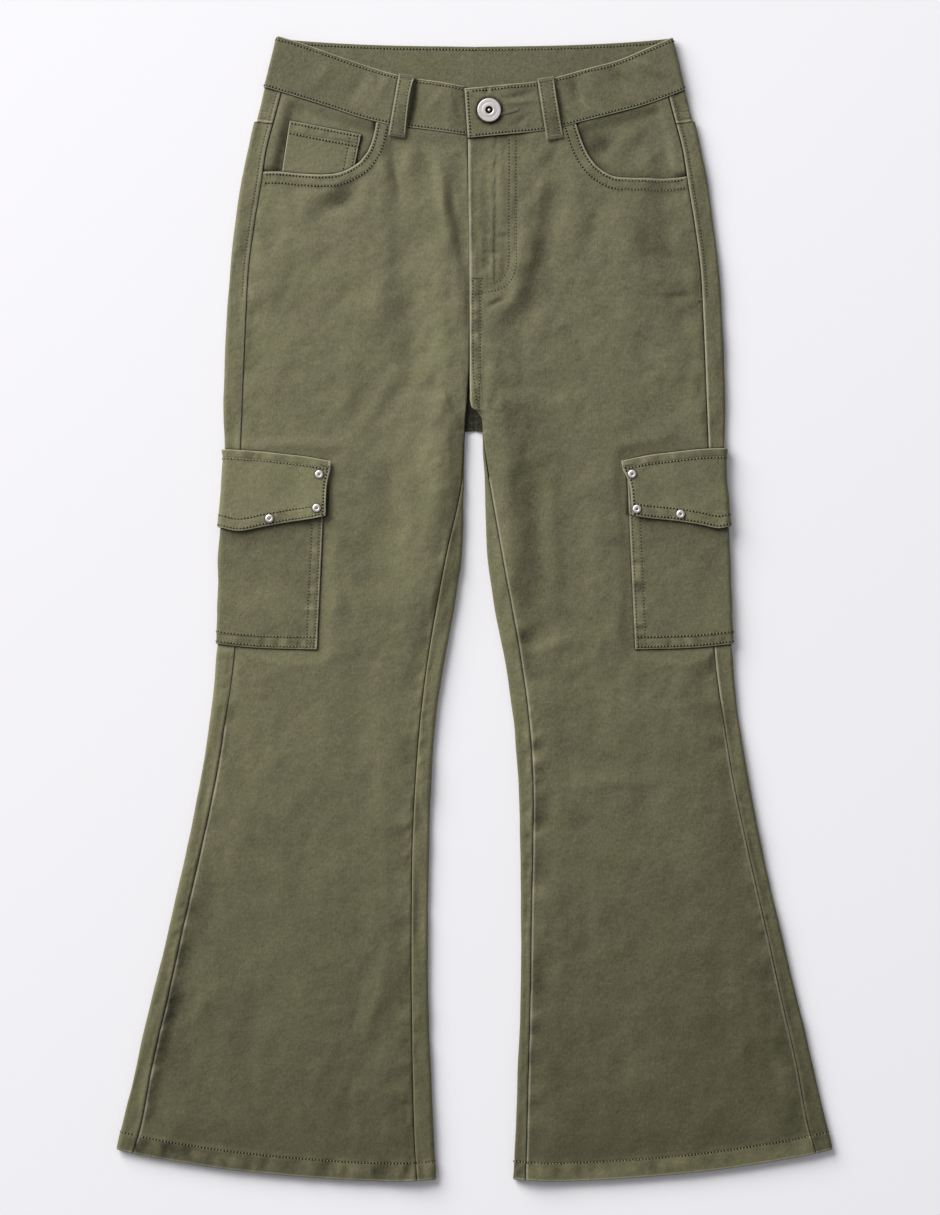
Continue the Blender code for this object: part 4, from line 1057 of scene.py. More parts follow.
def under_pocket(side, x, y):
    """1 where the panel lies hidden under a cargo pocket or flap."""
    inner = side.pocket_inner + 4
    return ease((x - inner) / 6) * zone(y, POCKET_ZONE[0] + 8, FLAP_ZONE[1] - 12, 6)


def from_cargo(side, x, y):
    """Distance outside the cargo pocket and its flap."""
    inner = side.pocket_inner + POCKET_SPREAD * np.clip((POCKET_TOP_Y - y) / POCKET_DEPTH, 0, 1)
    beside_pocket = np.hypot(np.maximum(inner - x, 0),
                             np.maximum(side.pocket_bottom(x) - y, 0) + np.maximum(y - POCKET_TOP_Y, 0))
    beside_flap = np.hypot(np.maximum(side.flap_inner - (0.4 if side.right else 0) - x, 0),
                           np.maximum(y - side.flap_top(x), 0) + np.maximum(side.flap_bottom(x) - y, 0))
    return np.minimum(beside_pocket, beside_flap)


def swell_at(side, x, y):
    """The legs' soft roundness along the inner fold, strong at the thighs."""
    from_fold = x - side.inner(y)
    high = SWELL * zone(y, *SWELL_ZONE, 90) * ease(from_fold / 19) * ease((58 - from_fold) / 38)
    low = LOW_SWELL * ease((90 - y) / 80) * ease(from_fold / 12) * ease((50 - from_fold) / 36)
    return (high + low) * ease((152 - y) / 12 + ease((from_fold - 6) / 10))


def front_relief(side, x, y):
    """What stands or sinks on the front panel's outer face, and its marks."""
    marks = Marks(np.shape(x))
    wide_x = side.sign * x
    from_out = side.outseam(y) - x
    from_in = x - side.inner_seam(y)
    from_band = side.band_bottom(x) - y
    mouth = from_line(x, y, side.mouth)
    mouth_or_band = np.minimum(mouth, from_band)
    above_hem = y - side.hem(x)
    folds = fold_height(wide_x, y, False)
    soft = rumple(wide_x, y) * (1 - 0.3 * ease((-20 - y) / 60)) + folds
    creases = CREASE_GAIN * crease_height(wide_x, y)
    soft += wrinkles(x, y, 141 + 3 * side.column)
    settle = ease(from_out / 6) * ease(from_in / 5) * ease(above_hem / 10) * ease(from_band / 9)
    swell = swell_at(side, x, y) + FULLNESS * ease(from_out / 26) * ease(from_in / 22) \
        * ease((above_hem - 6) / 30) * ease((mouth_or_band - 8) / 24)
    covered = under_pocket(side, x, y)
    drawn = 0.9 * (seam_puckers(side, y, from_out, "out", 11) + seam_puckers(side, y, from_in, "in", 21))
    in_hem = hem_puckers(x, above_hem, 31 + side.column)
    blotches = seam_strength(side, y, "out") * bump(from_out - 5, 7) \
        * noise(y, x * 0.2, 11, 41 + side.column)
    blotches += seam_strength(side, y, "in") * bump(from_in - 5, 7) * ease((100 - y) / 30) \
        * noise(y, x * 0.2, 11, 43 + side.column)
    drawn += 0.9 * in_hem + 0.8 * blotches
    beside, strong = (from_out, STRONG_LEFT_SEAM) if side.left else (from_in, STRONG_RIGHT_SEAM)
    # painted shade: a dark blotchy band beside the strongly drawn seam
    seam_side_shade = bump(beside - 4.5, 8) * zone(y, *strong, 40) * (0.28 - 0.35 * noise(y, x * 0.2, 9, 47))
    drawn += 0.3 * puckers(x, from_band - 2, 7, 35 + side.column, 9, 0.2)
    by_mouth = ease((y - 290) / 6)
    drawn += 0.2 * puckers(x, mouth - 5, 5, 37 + side.column, 6) * by_mouth
    groove = -0.35 * bump(from_out, 1.4) - 0.3 * bump(from_in, 1.3) * ease((120 - y) / 20)
    felled = 0.25 * ease((10.5 - mouth) / 1.5) * by_mouth
    lap = front_lap(side, y, from_in)
    relief = (soft + creases) * settle + swell + drawn + groove + felled + hem_step(above_hem) + lap
    # painted light and shade: puckers, blotches, creases and folds lighter on their ridges, darker in their
    # troughs
    marks.shade = 0.5 * drawn + 0.12 * (creases + folds) * settle - seam_side_shade
    if side.left:
        marks.shade += 0.7 * np.maximum(in_hem, -0.4) - 0.08 * ease((-300 - y) / 50)
    else:
        marks.shade += 0.5 * in_hem
    # a painted highlight on the ridge just above the hem's row
    marks.shade += 0.4 * bump(above_hem - HEM_DEPTH - 1.2, 1.8)
    marks.shade += ease((HEM_DEPTH - above_hem) / 1.5) \
        * (0.75 if side.right else mix(-0.32, 0.1, ease((wide_x + 190) / 60)))
    marks.shade += crease_height(wide_x, y, FOLD_SHADE_AND_WEAR)
    if side.right:
        relief += fly_relief(x, y, marks)
        # painted highlight along the right front's edge down the centre, and a painted shadow line beside it
        marks.edge_at(0.8 + 0.75 * (from_in - 1.2), zone(y, *CENTRE_SEAM) - 0.07 * ease((236 - y) / 12))
        marks.edge_at(from_in - 0.4, 0.95 * ease((112 - y) / 20))
        marks.gap_at(from_in - 2.9, 0.88 * zone(y, *CENTRE_SEAM))
    lowest = mix(*LOWEST, zone(wide_x, *ZIP_ZONE, 6) * ease((y - 205) / 15))
    relief = np.maximum(relief, lowest) * (1 - covered) - 0.15 * covered
    relief = np.minimum(relief, mix(0.1, 9, ease(from_cargo(side, x, y) / 34)))
    # painted shade where the panel lies under a cargo pocket
    marks.shade -= 0.5 * covered
    # painted highlights along the mouth, the lower outseam and the hem; painted shadow lines beside seams,
    # band and cargo pocket
    marks.edge_at(mouth, by_mouth)
    marks.edge_at(from_out - 0.4, zone(y, *LIT_FRONT_SEAM, 20))
    marks.edge_at(above_hem)
    low = ease((-10 - y) / 40)
    marks.gap_at(from_out + 0.1, 1 - 0.05 * low)
    marks.gap_at(from_in + 0.1, (1 if side.left else 0.96 * ease((128 - y) / 12)) - 0.04 * low)
    marks.gap_at(from_band, ease((side.mouth[-1][0] + 2 - x) / 2))
    marks.gap_at(from_cargo(side, x, y))
    marks.rows_at(mouth, MOUTH_ROWS, y > 296)
    marks.rows_at(above_hem, (HEM_ROW,), y < 0)
    return relief, marks


def front_lap(side, y, from_in):
    """The right front laps over the left one down the centre, to the crotch."""
    above = ease((y - 144) / 8)
    if side.right:
        strip = 0.55 * ease((7.5 - from_in) / 3) - 0.2 * ease((0.5 - from_in) / 0.5)
        return above * strip - 0.9 * zone(y, 150, 178, 12) * bump(from_in - 11, 3)
    return -0.45 * above * ease((4 - from_in) / 4)


def at_level(points):
    """x of a nearly upright line of points, at each y."""
    return spline([(b, a) for a, b in points])


def fly_relief(x, y, marks):
    """The fly's stitched layers, its pressed ridges and the crotch seam's double rows."""
    outer = from_line(x, y, FLY_OUTER)
    inner = from_line(x, y, FLY_INNER)
    ridge = x - at_level(FLY_RIDGE)(np.clip(y, 236, 344))
    inside = ease((30.5 - x) / 3) * ease((y - 240) / 6)
    upright = ease((y - 238) / 20)
    both = ease((262 - y) / 5) * ease((y - 230) / 6)
    pressed = 0.45 * bump(ridge, 1.4) - 0.4 * bump(ridge - 2.5, 1.2) + 0.3 * bump(ridge - 6.5, 2.4)
    pressed = (pressed - 0.3 * bump(ridge + 5, 2)) * upright * (1.05 + 0.5 * noise(y, x * 0.2, 26, 60))
    pressed -= 0.4 * both * bump(ridge + 2.2, 1.2)
    # painted shadow lines beside the pressed ridge
    marks.gap_at(ridge - 2.4, 0.91 * zone(y, 238, 340, 8))
    marks.gap_at(ridge + 2.2, 0.87 * both)
    wavy = 0.3 * inside * noise(x * 1.6, y * 0.22, 4.2, 61) + 0.14 * inside * noise(x, y, 7, 62)
    curved = ease((262 - y) / 4)
    rows = -FURROW * curved * (bump(outer, FURROW_WIDTH) + bump(inner, FURROW_WIDTH))
    below = ease((245 - y) / 4)
    strip = below * ease((y - 140) / 10) * bump(x - 2.2, 3.2)
    felled = strip * (0.35 + 0.4 * noise(y, x * 0.3, 3.4, 63))
    # painted light and shade: ridges and waves lighter where they rise, darker in the rows, and a blotchy
    # felled strip
    marks.shade += 0.5 * pressed + 0.6 * wavy + 0.8 * rows + 0.9 * strip * noise(y, x * 0.3, 3.4, 63)
    steep = np.clip(y, 262, 344)
    between = at_level(FLY_OUTER[:4])(steep) - at_level(FLY_INNER[:4])(steep)
    marks.rows_at(x - at_level(FLY_INNER[:4])(steep), (0, 5.3), (y > 262) & (between > 0), cross=True)
    low = np.clip(y, 146, 243)
    marks.rows_at(x - at_level(CROTCH_ROWS_IN)(low), (0, 5.4), (y > 150) & (y < 243), cross=True)
    return 0.3 * inside + pressed + wavy + rows + felled


def back_relief(side, grid, yoke=False):
    """The back piece's seams and folds, in runs of cloth from its outseam and to its inner edge."""
    marks, x, y, run = opened(grid)
    to_end = run[:, -1:] - run
    above_hem = y - side.hem(x)
    wide = side.sign * run * 1.7 + 260 * side.sign
    soft = rumple(wide, y + 333)
    on_leg = ease((126 - y) / 10)
    drawn = seam_puckers(side, y, run, "out", 12) + on_leg * seam_puckers(side, y, to_end, "in", 22)
    drawn *= 0.8
    on_top = ease((x - side.inner(y)) / 3) * (grid[..., 2] > 3) * (to_end < 30) * ease((128 - y) / 6)
    ridge_out = 0.45 * bump(run - 1.3, 1.2) - 0.2 * bump(run, 0.5) + swell_at(side, x, y) * on_top
    ridge_in = on_leg * (0.36 * bump(to_end - 1.3, 1.2) - 0.2 * bump(to_end, 0.5))
    settle = ease(run / 6) * ease(to_end / 5)
    step = 0
    if yoke:
        down = running(np.swapaxes(grid, 0, 1)).T
        to_bottom = down[-1:] - down
        marks.rows_at(to_bottom, TWIN_ROWS)
        marks.gap_at(down)
        marks.edge_at(to_bottom)
        drawn += 0.2 * puckers(run, to_bottom - 5, 5, 39 + side.column, 5)
    else:
        settle *= ease(above_hem / 10)
        step = hem_step(above_hem)
        drawn += 1.3 * hem_puckers(run, above_hem, 33 + side.column)
        marks.rows_at(above_hem, (HEM_ROW,), y < 0)
        marks.edge_at(above_hem)
        marks.gap_at(side.yoke_seam(x) - y)
    covered = zone(y, POCKET_ZONE[0] + 4, FLAP_ZONE[1] - 8, 4) * ease((x - 140) / 6)
    sideways = 1 - 0.7 * np.hypot(*np.moveaxis(grid_normals(grid, True)[..., :2], -1, 0))
    lip = -0.6 * bump(side.yoke_seam(x) - y, 22) if yoke else 1.1 * bump(side.yoke_seam(x) - y, 26)
    relief = (soft * settle + drawn) * sideways + ridge_out + ridge_in + step
    relief += lip * (1 - sideways) / 0.7
    relief = relief * (1 - covered) - 0.2 * covered
    low_strip = ease((grid[..., 2] - 2.5) / 0.8) * ease((60 - y) / 80)
    lighter = np.where(to_end < 30, 0.5, 0.3) if side.left else 0.1
    # painted light and shade: puckers lighter on their ridges, darker in their troughs
    marks.shade = 0.45 * drawn + lighter * low_strip
    marks.shade += crease_height(side.sign * x, y, FOLD_SHADE_AND_WEAR) * (grid[..., 2] > 2.5)
    on_hip = ease((y - HIP_TACK_Y) / 3)
    lit_hip = 0.885 - (0.035 if side.right else 0.005) * on_hip
    marks.edge_at(mix(run - 0.5, 0.8 + 0.5 * (run - 1.6), on_hip), lit_hip * ease((y + 120) / 60))
    marks.gap_at(run - 3.4, 0.88 * on_hip)
    marks.edge_at(to_end - 0.5, on_leg * 0.7)
    marks.gap_at(from_cargo(side, x, y))
    marks.gap_at(to_end, ease((y - 150) / 10))
    marks.rows_at(run, (3,), y > HIP_TACK_Y, cross=True)
    marks.rows_at(to_end, TWIN_ROWS, y > TWIN_FROM_Y, cross=True)
    # painted shadow on the inner face, where the back's crotch shows below the front panels
    marks.inside = -1.5 * ease((14 - x) / 4) * zone(y, 124, 168, 6)
    return relief, marks


def rest_on_floor(grid, relief, marks, flip):
    """On the underside the cloth may only rise from the floor, most along its rows of sewing."""
    down = np.clip(-grid_normals(grid, flip)[..., 2], 0, 1)
    furrow = 0.5 * np.maximum(bump(marks.rows, 1.2), bump(marks.cross_rows, 1.2))
    return mix(relief, -np.clip(0.6 * np.abs(relief), furrow, 0.8), ease(down * 1.5))


BAND_SIDE_HEIGHT = 36
# soft drags in the waistband: x0, y0, x1, y1, half width, height
BAND_CREASES = (
    (21, 372.5, 50, 377.5, 2.6, -0.4), (22, 369, 46, 372, 2, 0.3), (10, 385, 9, 376, 1.6, -0.35),
    (24, 356, 44, 361, 2.6, -0.25), (-12, 376, -8, 352, 2.6, -0.4), (-22, 384, -34, 362, 4, 0.3),
    (-40, 388, -44, 352, 3, -0.45), (-76, 398, -92, 366, 5, -0.3), (-104, 402, -120, 380, 5, 0.3),
    (-60, 396, -74, 374, 4, 0.25), (68, 392, 84, 366, 4, -0.6), (78, 396, 96, 372, 4, 0.5),
    (96, 398, 120, 378, 5, -0.5), (118, 404, 140, 392, 4, 0.45),
)


def band_relief(side, grid):
    """The waistband's sewing, drags and soft waves."""
    marks, x, y, run = opened(grid)
    share = downwards(grid, 1, 0)
    height = share * BAND_SIDE_HEIGHT
    wide = side.sign * run
    soft = 0.3 * turned_noise(wide, y, 30, 71) + 0.2 * turned_noise(wide, y, 11, 73)
    in_front = grid[..., 2] > BAND_FRONT_MID - 0.8
    soft += CREASE_GAIN * crease_height(side.sign * x, y, BAND_CREASES) * in_front
    to_top = BAND_SIDE_HEIGHT - height
    drawn = 0.26 * puckers(run, to_top - 1, 6, 75 + side.column, 6, 0.5)
    drawn += 0.26 * puckers(run, height, 6, 77 + side.column, 6, 0.5)
    edges = ease(height / 1.5) * ease(to_top / 1.5) * ease((run[:, -1:] - run) / 14)
    relief = (soft + drawn) * edges
    to_middle = ease((side.sign * x + 124) / 70) * ease((-14 - side.sign * x) / 8)
    # puckers painted lighter on their ridges, darker in their troughs
    marks.shade = 0.6 * drawn - 0.26 + in_front * (0.14 if side.right else mix(-0.16, 0.32, to_middle))
    marks.inside = marks.inside - 0.25
    marks.edge_at(np.minimum(height, to_top))
    marks.rows_at(height, (BAND_LOW_ROW, BAND_SIDE_HEIGHT - BAND_HIGH_ROW))
    if side.right:
        marks.edge_at(run)
        marks.rows_at(run, (BAND_END_ROW,), cross=True)
        # a painted shadow ring round the waist button
        rim = np.hypot(x - BUTTON_AT[0], y - BUTTON_AT[1]) - 8.9
        marks.shade -= 1.6 * in_front * bump(rim - 0.2, 1.5)
    else:
        from_overlap = x + mix(BAND_END[0], BAND_END[1], share)
        marks.gap_at(np.maximum(from_overlap, 0), 1 * in_front)
        # painted shade under the right end, which overlaps this one
        marks.shade -= 0.5 * in_front * ease((5 - from_overlap) / 5)
    for _, top_x, top_y, bottom_x, bottom_y in FRONT_LOOPS:
        middle = mix(top_x, bottom_x, (top_y - y) / (top_y - bottom_y))
        right_edge = side.sign * x - middle - LOOP_WIDTH / 2
        # a painted shadow to the right of each front loop, and a painted shadow line along its left edge
        marks.shade -= 1.1 * in_front * bump(right_edge - 1, 1.9) * (0.6 if top_x > 0 else 1)
        marks.gap_at(right_edge + LOOP_WIDTH + 0.5, 1 * in_front)
    return relief, marks


def band_inner_relief(side, grid):
    """The waistband's inner face, which shows at the back: one row of sewing below its edge."""
    run = running(grid)
    y = grid[..., 1]
    soft = 0.3 * turned_noise(run * side.sign, y, 24, 79) + 0.1 * turned_noise(run, y, 9, 80)
    from_row = np.abs(downwards(grid, 0, 38) - BAND_INNER_ROW)
    drawn = 0.2 * puckers(run, from_row, 6, 81, 6, 0.5)
    return (soft + drawn) * ease((run[:, -1:] - run) / 14) - 0.15 * bump(from_row, 1)


def facing_relief(side, x, y):
    marks = Marks(np.shape(x))
    wide_x = side.sign * x
    soft = 0.6 * rumple(wide_x, y + 50)
    from_out = side.outseam(y) - x
    folds = crease_height(wide_x, y, FACING_FOLDS_RIGHT if side.right else FACING_FOLDS_LEFT)
    relief = (soft + folds) * ease(from_out / 3) + 0.3 * puckers(y, from_out, 4, 87)
    inside = mouth_inside(side, x, y)
    low = ease((inside + 1) / 4)
    # painted shade: folds darker in their troughs, and the facing darker just inside the mouth, under the
    # front panel's edge
    marks.shade = 0.9 * folds - 0.35 * ease((9 - inside) / 9) + crease_height(wide_x, y, FOLD_SHADE_AND_WEAR)
    marks.gap_at(from_out)
    marks.gap_at(inside, 1)
    marks.gap_at(side.band_bottom(x) - y)
    if side.left:
        # painted shade of the deep fold beside the coin pocket
        marks.shade -= 0.85 * bump(x - at_level(DARK_FOLD)(y), 3.4) * ease((360 - y) / 16)
        marks.gap_at(from_coin(x, y))
        (x1, y1), _, (x3, y3) = COIN_CORNERS[1:]
        slit = at_level(((-x1, y1), (-x3, y3)))(y) - x
        # a painted shadow in the slit beside the coin pocket's right edge
        marks.shade -= 1.4 * bump(slit - 0.9, 1.1) * ease((y1 + 1 - y) / 3)
    return relief * low - 0.2 * (1 - low), marks


# the deep fold beside the coin pocket, drawn only as painted shade, |x| and y
DARK_FOLD = ((135.6, 368), (138.6, 350), (142.6, 330), (145.4, 312))


def from_coin(x, y):
    """Distance outside the coin pocket, on the left side."""
    (x0, y0), (x1, y1), (x2, y2), (x3, y3) = COIN_CORNERS
    left_edge = at_level(((-x0, y0), (-x2, y2)))(y)
    right_edge = at_level(((-x1, y1), (-x3, y3)))(y)
    top_edge = spline(((-x1, y1), (-x0, y0)))(x)
    away_x = np.maximum(x - left_edge, 0) + np.maximum(right_edge - x, 0)
    return np.hypot(away_x, np.maximum(y - top_edge, 0))


def mouth_inside(side, x, y):
    """How far a place lies inside the pocket's mouth, where the facing shows."""
    line = spline(sorted(side.mouth))
    above = np.where(x > side.mouth[-1][0], y - line(np.maximum(x, side.mouth[-1][0])), -10)
    return np.where(above > 0, np.minimum(above, from_line(x, y, side.mouth)), above)


FACING_FOLDS_RIGHT = (
    (96, 326, 118, 352, 4, 0.75), (104, 322, 132, 358, 4.5, -0.7), (118, 320, 140, 346, 4, 0.5),
    (134, 318, 132, 344, 3.5, -0.6), (144, 318, 146, 350, 3, 0.45),
)
FACING_FOLDS_LEFT = (
    (-136, 366, -145, 316, 3.2, -0.6),
    (-128, 364, -112, 360, 3, 0.25),
)


def coin_relief(side, grid):
    marks, x, y, _ = opened(grid)
    down = downwards(grid, 0, COIN_SIZE[1])
    across = downwards(np.swapaxes(grid, 0, 1), 0, COIN_SIZE[0]).T
    from_right = COIN_SIZE[0] - across
    soft = 0.25 * turned_noise(x, y, 16, 91)
    tunnel = 0.25 * bump(down - 6, 3) + 0.2 * bump(from_right - 5, 2.4)
    drawn = 0.3 * puckers(down, from_right - 5, 4, 93, 4) + 0.22 * puckers(across, down - 5.5, 4, 94, 4)
    # puckers painted lighter on their ridges and darker in their troughs; the patch's middle is painted
    # lighter
    marks.shade = 0.9 * drawn + 0.2 * bump(across - 20, 14) * bump(down - 34, 14)
    marks.edge_at(np.minimum(across, down))
    marks.edge_at(from_right - 0.4)
    marks.gap_at(mouth_inside(side, x, y))
    marks.rows_at(down, COIN_ROWS)
    marks.rows_at(from_right, TWIN_ROWS, cross=True)
    return soft + drawn + tunnel, marks


def pocket_relief(side, grid):
    marks, x, y, run = opened(grid)
    down = downwards(grid, 0, POCKET_DEPTH)
    to_bottom = POCKET_DEPTH - down
    soft = 0.8 * rumple(side.sign * x + 400, y)
    belly = 0.7 * ease(run / 30) * ease((78 - run) / 40) * ease(to_bottom / 30)
    settle = ease(run / 9) * ease(to_bottom / 9)
    waves = puckers(down, run - 5, 5, 101 + side.column, 4.2, 0.1) + 0.35 * bump(run - 5, 3)
    drawn = 0.9 * waves + 0.5 * puckers(run, to_bottom - 5, 4.5, 103 + side.column, 5, 0.1)
    # puckers painted lighter on their ridges and darker in their troughs
    marks.shade = 1.2 * drawn - 0.25 if side.left else 0.9 * drawn
    marks.shade += crease_height(side.sign * x, y, FOLD_SHADE_AND_WEAR)
    marks.edge_at(np.minimum(run, to_bottom))
    marks.gap_at(side.flap_bottom(x) - y)
    # painted shadow beside the flap's lower edge
    marks.shade -= 0.4 * ease((12 - np.abs(side.flap_bottom(x) - y)) / 12)
    marks.rows_at(to_bottom, POCKET_ROWS)
    marks.rows_at(run, POCKET_SIDE_ROWS, cross=True)
    return np.maximum((soft + belly) * settle + drawn + 0.15 * bump(run, 2), -0.7), marks


FLAP_DENT = (162, 108.5)  # a shallow dent under the left flap's top edge, with painted shade in it


def flap_relief(side, grid):
    marks, x, y, run = opened(grid)
    height = side.flap_top(x) - side.flap_bottom(x)
    down = downwards(grid, 0, 1) * height
    to_bottom = height - down
    soft = 0.7 * rumple(side.sign * x + 800, y)
    settle = ease(run / 6) * ease(to_bottom / 6) * ease(down / 6)
    step = 0.25 * bump(down - 3.5, 3)
    drawn = 0.5 * puckers(run, to_bottom - 5, 5, 111 + side.column, 5.5, 0.3)
    drawn += 0.5 * puckers(run, down - 5, 4, 113 + side.column, 5.5, 0.3)
    # puckers painted lighter on their ridges and darker in their troughs
    marks.shade = 0.8 * drawn
    marks.edge_at(np.minimum(np.minimum(run, to_bottom), down))
    if side.left:
        dent = bump(np.hypot((x - FLAP_DENT[0]) / 1.8, y - FLAP_DENT[1]), 3.6)
        drawn -= 0.6 * dent
        marks.shade -= 0.35 * dent
    marks.shade += 0.22
    # painted shadow rings round the studs
    for _, stud_x, stud_y in STUDS:
        if stud_x * side.sign > 0:
            marks.gap_at(np.maximum(np.hypot(x - abs(stud_x), y - stud_y) - 3, 0))
    marks.rows_at(down, (FLAP_TOP_ROW,), down < 0.5 * height)
    marks.rows_at(to_bottom, POCKET_ROWS, down > 0.5 * height)
    marks.rows_at(run, (FLAP_SIDE_ROW,), cross=True)
    return np.maximum(soft * settle + step + drawn, -0.7), marks


def flap_lift(side, grid):
    """How far the flap's free inner and lower edges stand off the pocket."""
    x = grid[..., 0]
    run = running(grid)
    to_bottom = downwards(grid, 1, 0) * (side.flap_top(x) - side.flap_bottom(x))
    lift = 2 * ease((26 - run) / 26) * ease((46 - to_bottom) / 34)
    lift += 1.3 * ease((22 - to_bottom) / 22)
    return lift * ease((80 - run) / 12)


# --- rows of sewing ---

def row_at(surface, distance, from_end=False):
    """The line across a shell at this distance down from its first row, or up from its last."""
    if from_end:
        surface = surface[::-1]
    runs = running(np.swapaxes(surface, 0, 1)).T
    line = np.empty((surface.shape[1], 3))
    for j in range(surface.shape[1]):
        line[j] = [np.interp(distance, runs[:, j], values) for values in surface[:, j].T]
    return line


def column_at(surface, distance, from_end=False):
    """The line down a shell at this distance from its first column, or back from its last."""
    return row_at(np.swapaxes(surface, 0, 1), distance, from_end)


class Sewing:
    """Collects the lines that the thread follows, as points in the frame's metres."""

    def __init__(self):
        self.rows = []
        self.faint = []
        self.tacks = []

    def keep(self, lines, side, line, lowest):
        line[:, 2] = np.maximum(line[:, 2], lowest)
        lines.append(side.world(line))

    def row(self, side, line, part=slice(1, -1), faint=False):
        self.keep(self.faint if faint else self.rows, side, line[part].copy(), 1.1)

    def tack(self, side, line):
        self.keep(self.tacks, side, line.copy(), 0.2)


SEWING = Sewing()
OUTER = {}  # the outer faces of the shells made so far, by piece


def front_surface(side, line):
    """Places of |x| and y set on the front panel's outer face."""
    x, y = line[:, 0], line[:, 1]
    relief, _ = front_relief(side, x, y)
    return joined(x, y, side.front_top(x, y) + CLOTH / 2 + relief)


def sew_front(side):
    SEWING.row(side, row_at(OUTER["front_panel_" + side.name], HEM_ROW, True), slice(3, -3))
    (_, mouth_y), *others = side.mouth
    mouth = line_through([(side.outseam(mouth_y), mouth_y)] + others)
    for distance in MOUTH_ROWS:
        line = beside(mouth, distance)
        inside = line[:, 0] < side.outseam(line[:, 1]) - 1
        inside &= line[:, 1] < side.band_bottom(line[:, 0]) - 1.5
        SEWING.row(side, front_surface(side, line[inside]))
    if side.right:
        for points in (FLY_OUTER, FLY_INNER, CROTCH_ROWS_OUT, CROTCH_ROWS_IN):
            SEWING.row(side, front_surface(side, line_through(points)), faint=True)
        SEWING.tack(side, front_surface(side, tack_line(FLY_TACK)))
    seam_x = side.outseam(HIP_TACK_Y)
    hip_tack = tack_line(((seam_x - 3.4, HIP_TACK_Y), (seam_x - 0.6, HIP_TACK_Y)))
    SEWING.tack(side, front_surface(side, hip_tack))


def sew_back(side):
    yoke = OUTER["back_yoke_" + side.name]
    panel = OUTER["back_panel_" + side.name]
    for outer in (yoke, panel):
        line = column_at(outer, HIP_ROW)
        SEWING.row(side, line[line[:, 1] > HIP_TACK_Y], slice(2, -2), faint=True)
        for distance in TWIN_ROWS:
            centre = column_at(outer, distance, True)
            SEWING.row(side, centre[centre[:, 1] > TWIN_FROM_Y], slice(2, -2))
    SEWING.row(side, row_at(panel, HEM_ROW, True), slice(3, -3))
    for distance in TWIN_ROWS:
        SEWING.row(side, row_at(yoke, distance, True)[YOKE_FIRST:], slice(2, -2))


def sew_band(side):
    outer = OUTER["waistband_" + side.name]
    start = 6 if side.right else 20
    SEWING.row(side, row_at(outer, BAND_HIGH_ROW), slice(start, -3))
    SEWING.row(side, row_at(outer, BAND_LOW_ROW, True), slice(start, -3))
    if side.right:
        SEWING.row(side, column_at(outer, BAND_END_ROW), slice(3, -3))
        line = line_through(BUTTONHOLE, 0.5, False)
        level = BAND_OVER_MID + BAND_CLOTH / 2 - 1.8 * ease((line[:, 0] - OVERLAP_END) / 23)
        for lift in (0.5, -0.5):
            SEWING.tack(side, np.column_stack([line[:, 0], line[:, 1] + lift, level]))
    SEWING.row(side, row_at(OUTER["waistband_inside_" + side.name], BAND_INNER_ROW), slice(BACK_FIRST, None))


def sew_loop(outer):
    for from_end in (False, True):
        SEWING.row(RIGHT, column_at(outer, LOOP_ROW, from_end), slice(3, -3), faint=True)
    for from_end in (False, True):
        for distance in (1.2, 2.4):
            SEWING.tack(RIGHT, tack_line(row_at(outer, distance, from_end))[4:-4])


def sew_hip_pockets():
    outer = OUTER["coin_pocket"]
    for distance in COIN_ROWS:
        SEWING.row(LEFT, row_at(outer, distance), slice(2, -2))
    for distance in TWIN_ROWS:
        SEWING.row(LEFT, column_at(outer, distance, True), slice(2, -2), faint=True)


def sew_cargo(side):
    pocket = OUTER["cargo_pocket_" + side.name]
    flap = OUTER["cargo_flap_" + side.name]
    for distance in POCKET_ROWS:
        SEWING.row(side, row_at(pocket, distance, True), slice(3, -2))
    for distance in POCKET_SIDE_ROWS:
        SEWING.row(side, column_at(pocket, distance), slice(20, -3), faint=True)
    SEWING.row(side, row_at(flap, FLAP_TOP_ROW), slice(3, -2))
    for distance in POCKET_ROWS:
        SEWING.row(side, row_at(flap, distance, True), slice(3, -2))
    SEWING.row(side, column_at(flap, FLAP_SIDE_ROW), slice(6, -3))
    SEWING.tack(side, tack_line(row_at(flap, 4.2)[2:8]))


# --- materials ---

class Nodes:
    """A node tree, filled step by step."""

    prefix = ""

    def __init__(self, tree):
        self.tree = tree

    def put(self, value, socket):
        if isinstance(value, bpy.types.NodeSocket):
            self.tree.links.new(value, socket)
        else:
            socket.default_value = value

    def feed(self, node, **inputs):
        """Fills the node's inputs; a key has _ where the input's name has a space."""
        for key, value in inputs.items():
            self.put(value, node.inputs[key.replace("_", " ")])

    def add(self, kind, **settings):
        """A new node: a key with a capital letter is one of its inputs, another one of its settings."""
        node = self.tree.nodes.new(self.prefix + kind)
        for key, value in settings.items():
            if key[0].isupper():
                self.feed(node, **{key: value})
            else:
                setattr(node, key, value)
        return node

    def made(self, kind, **settings):
        """The first output of a new node."""
        return self.add(kind, **settings).outputs[0]


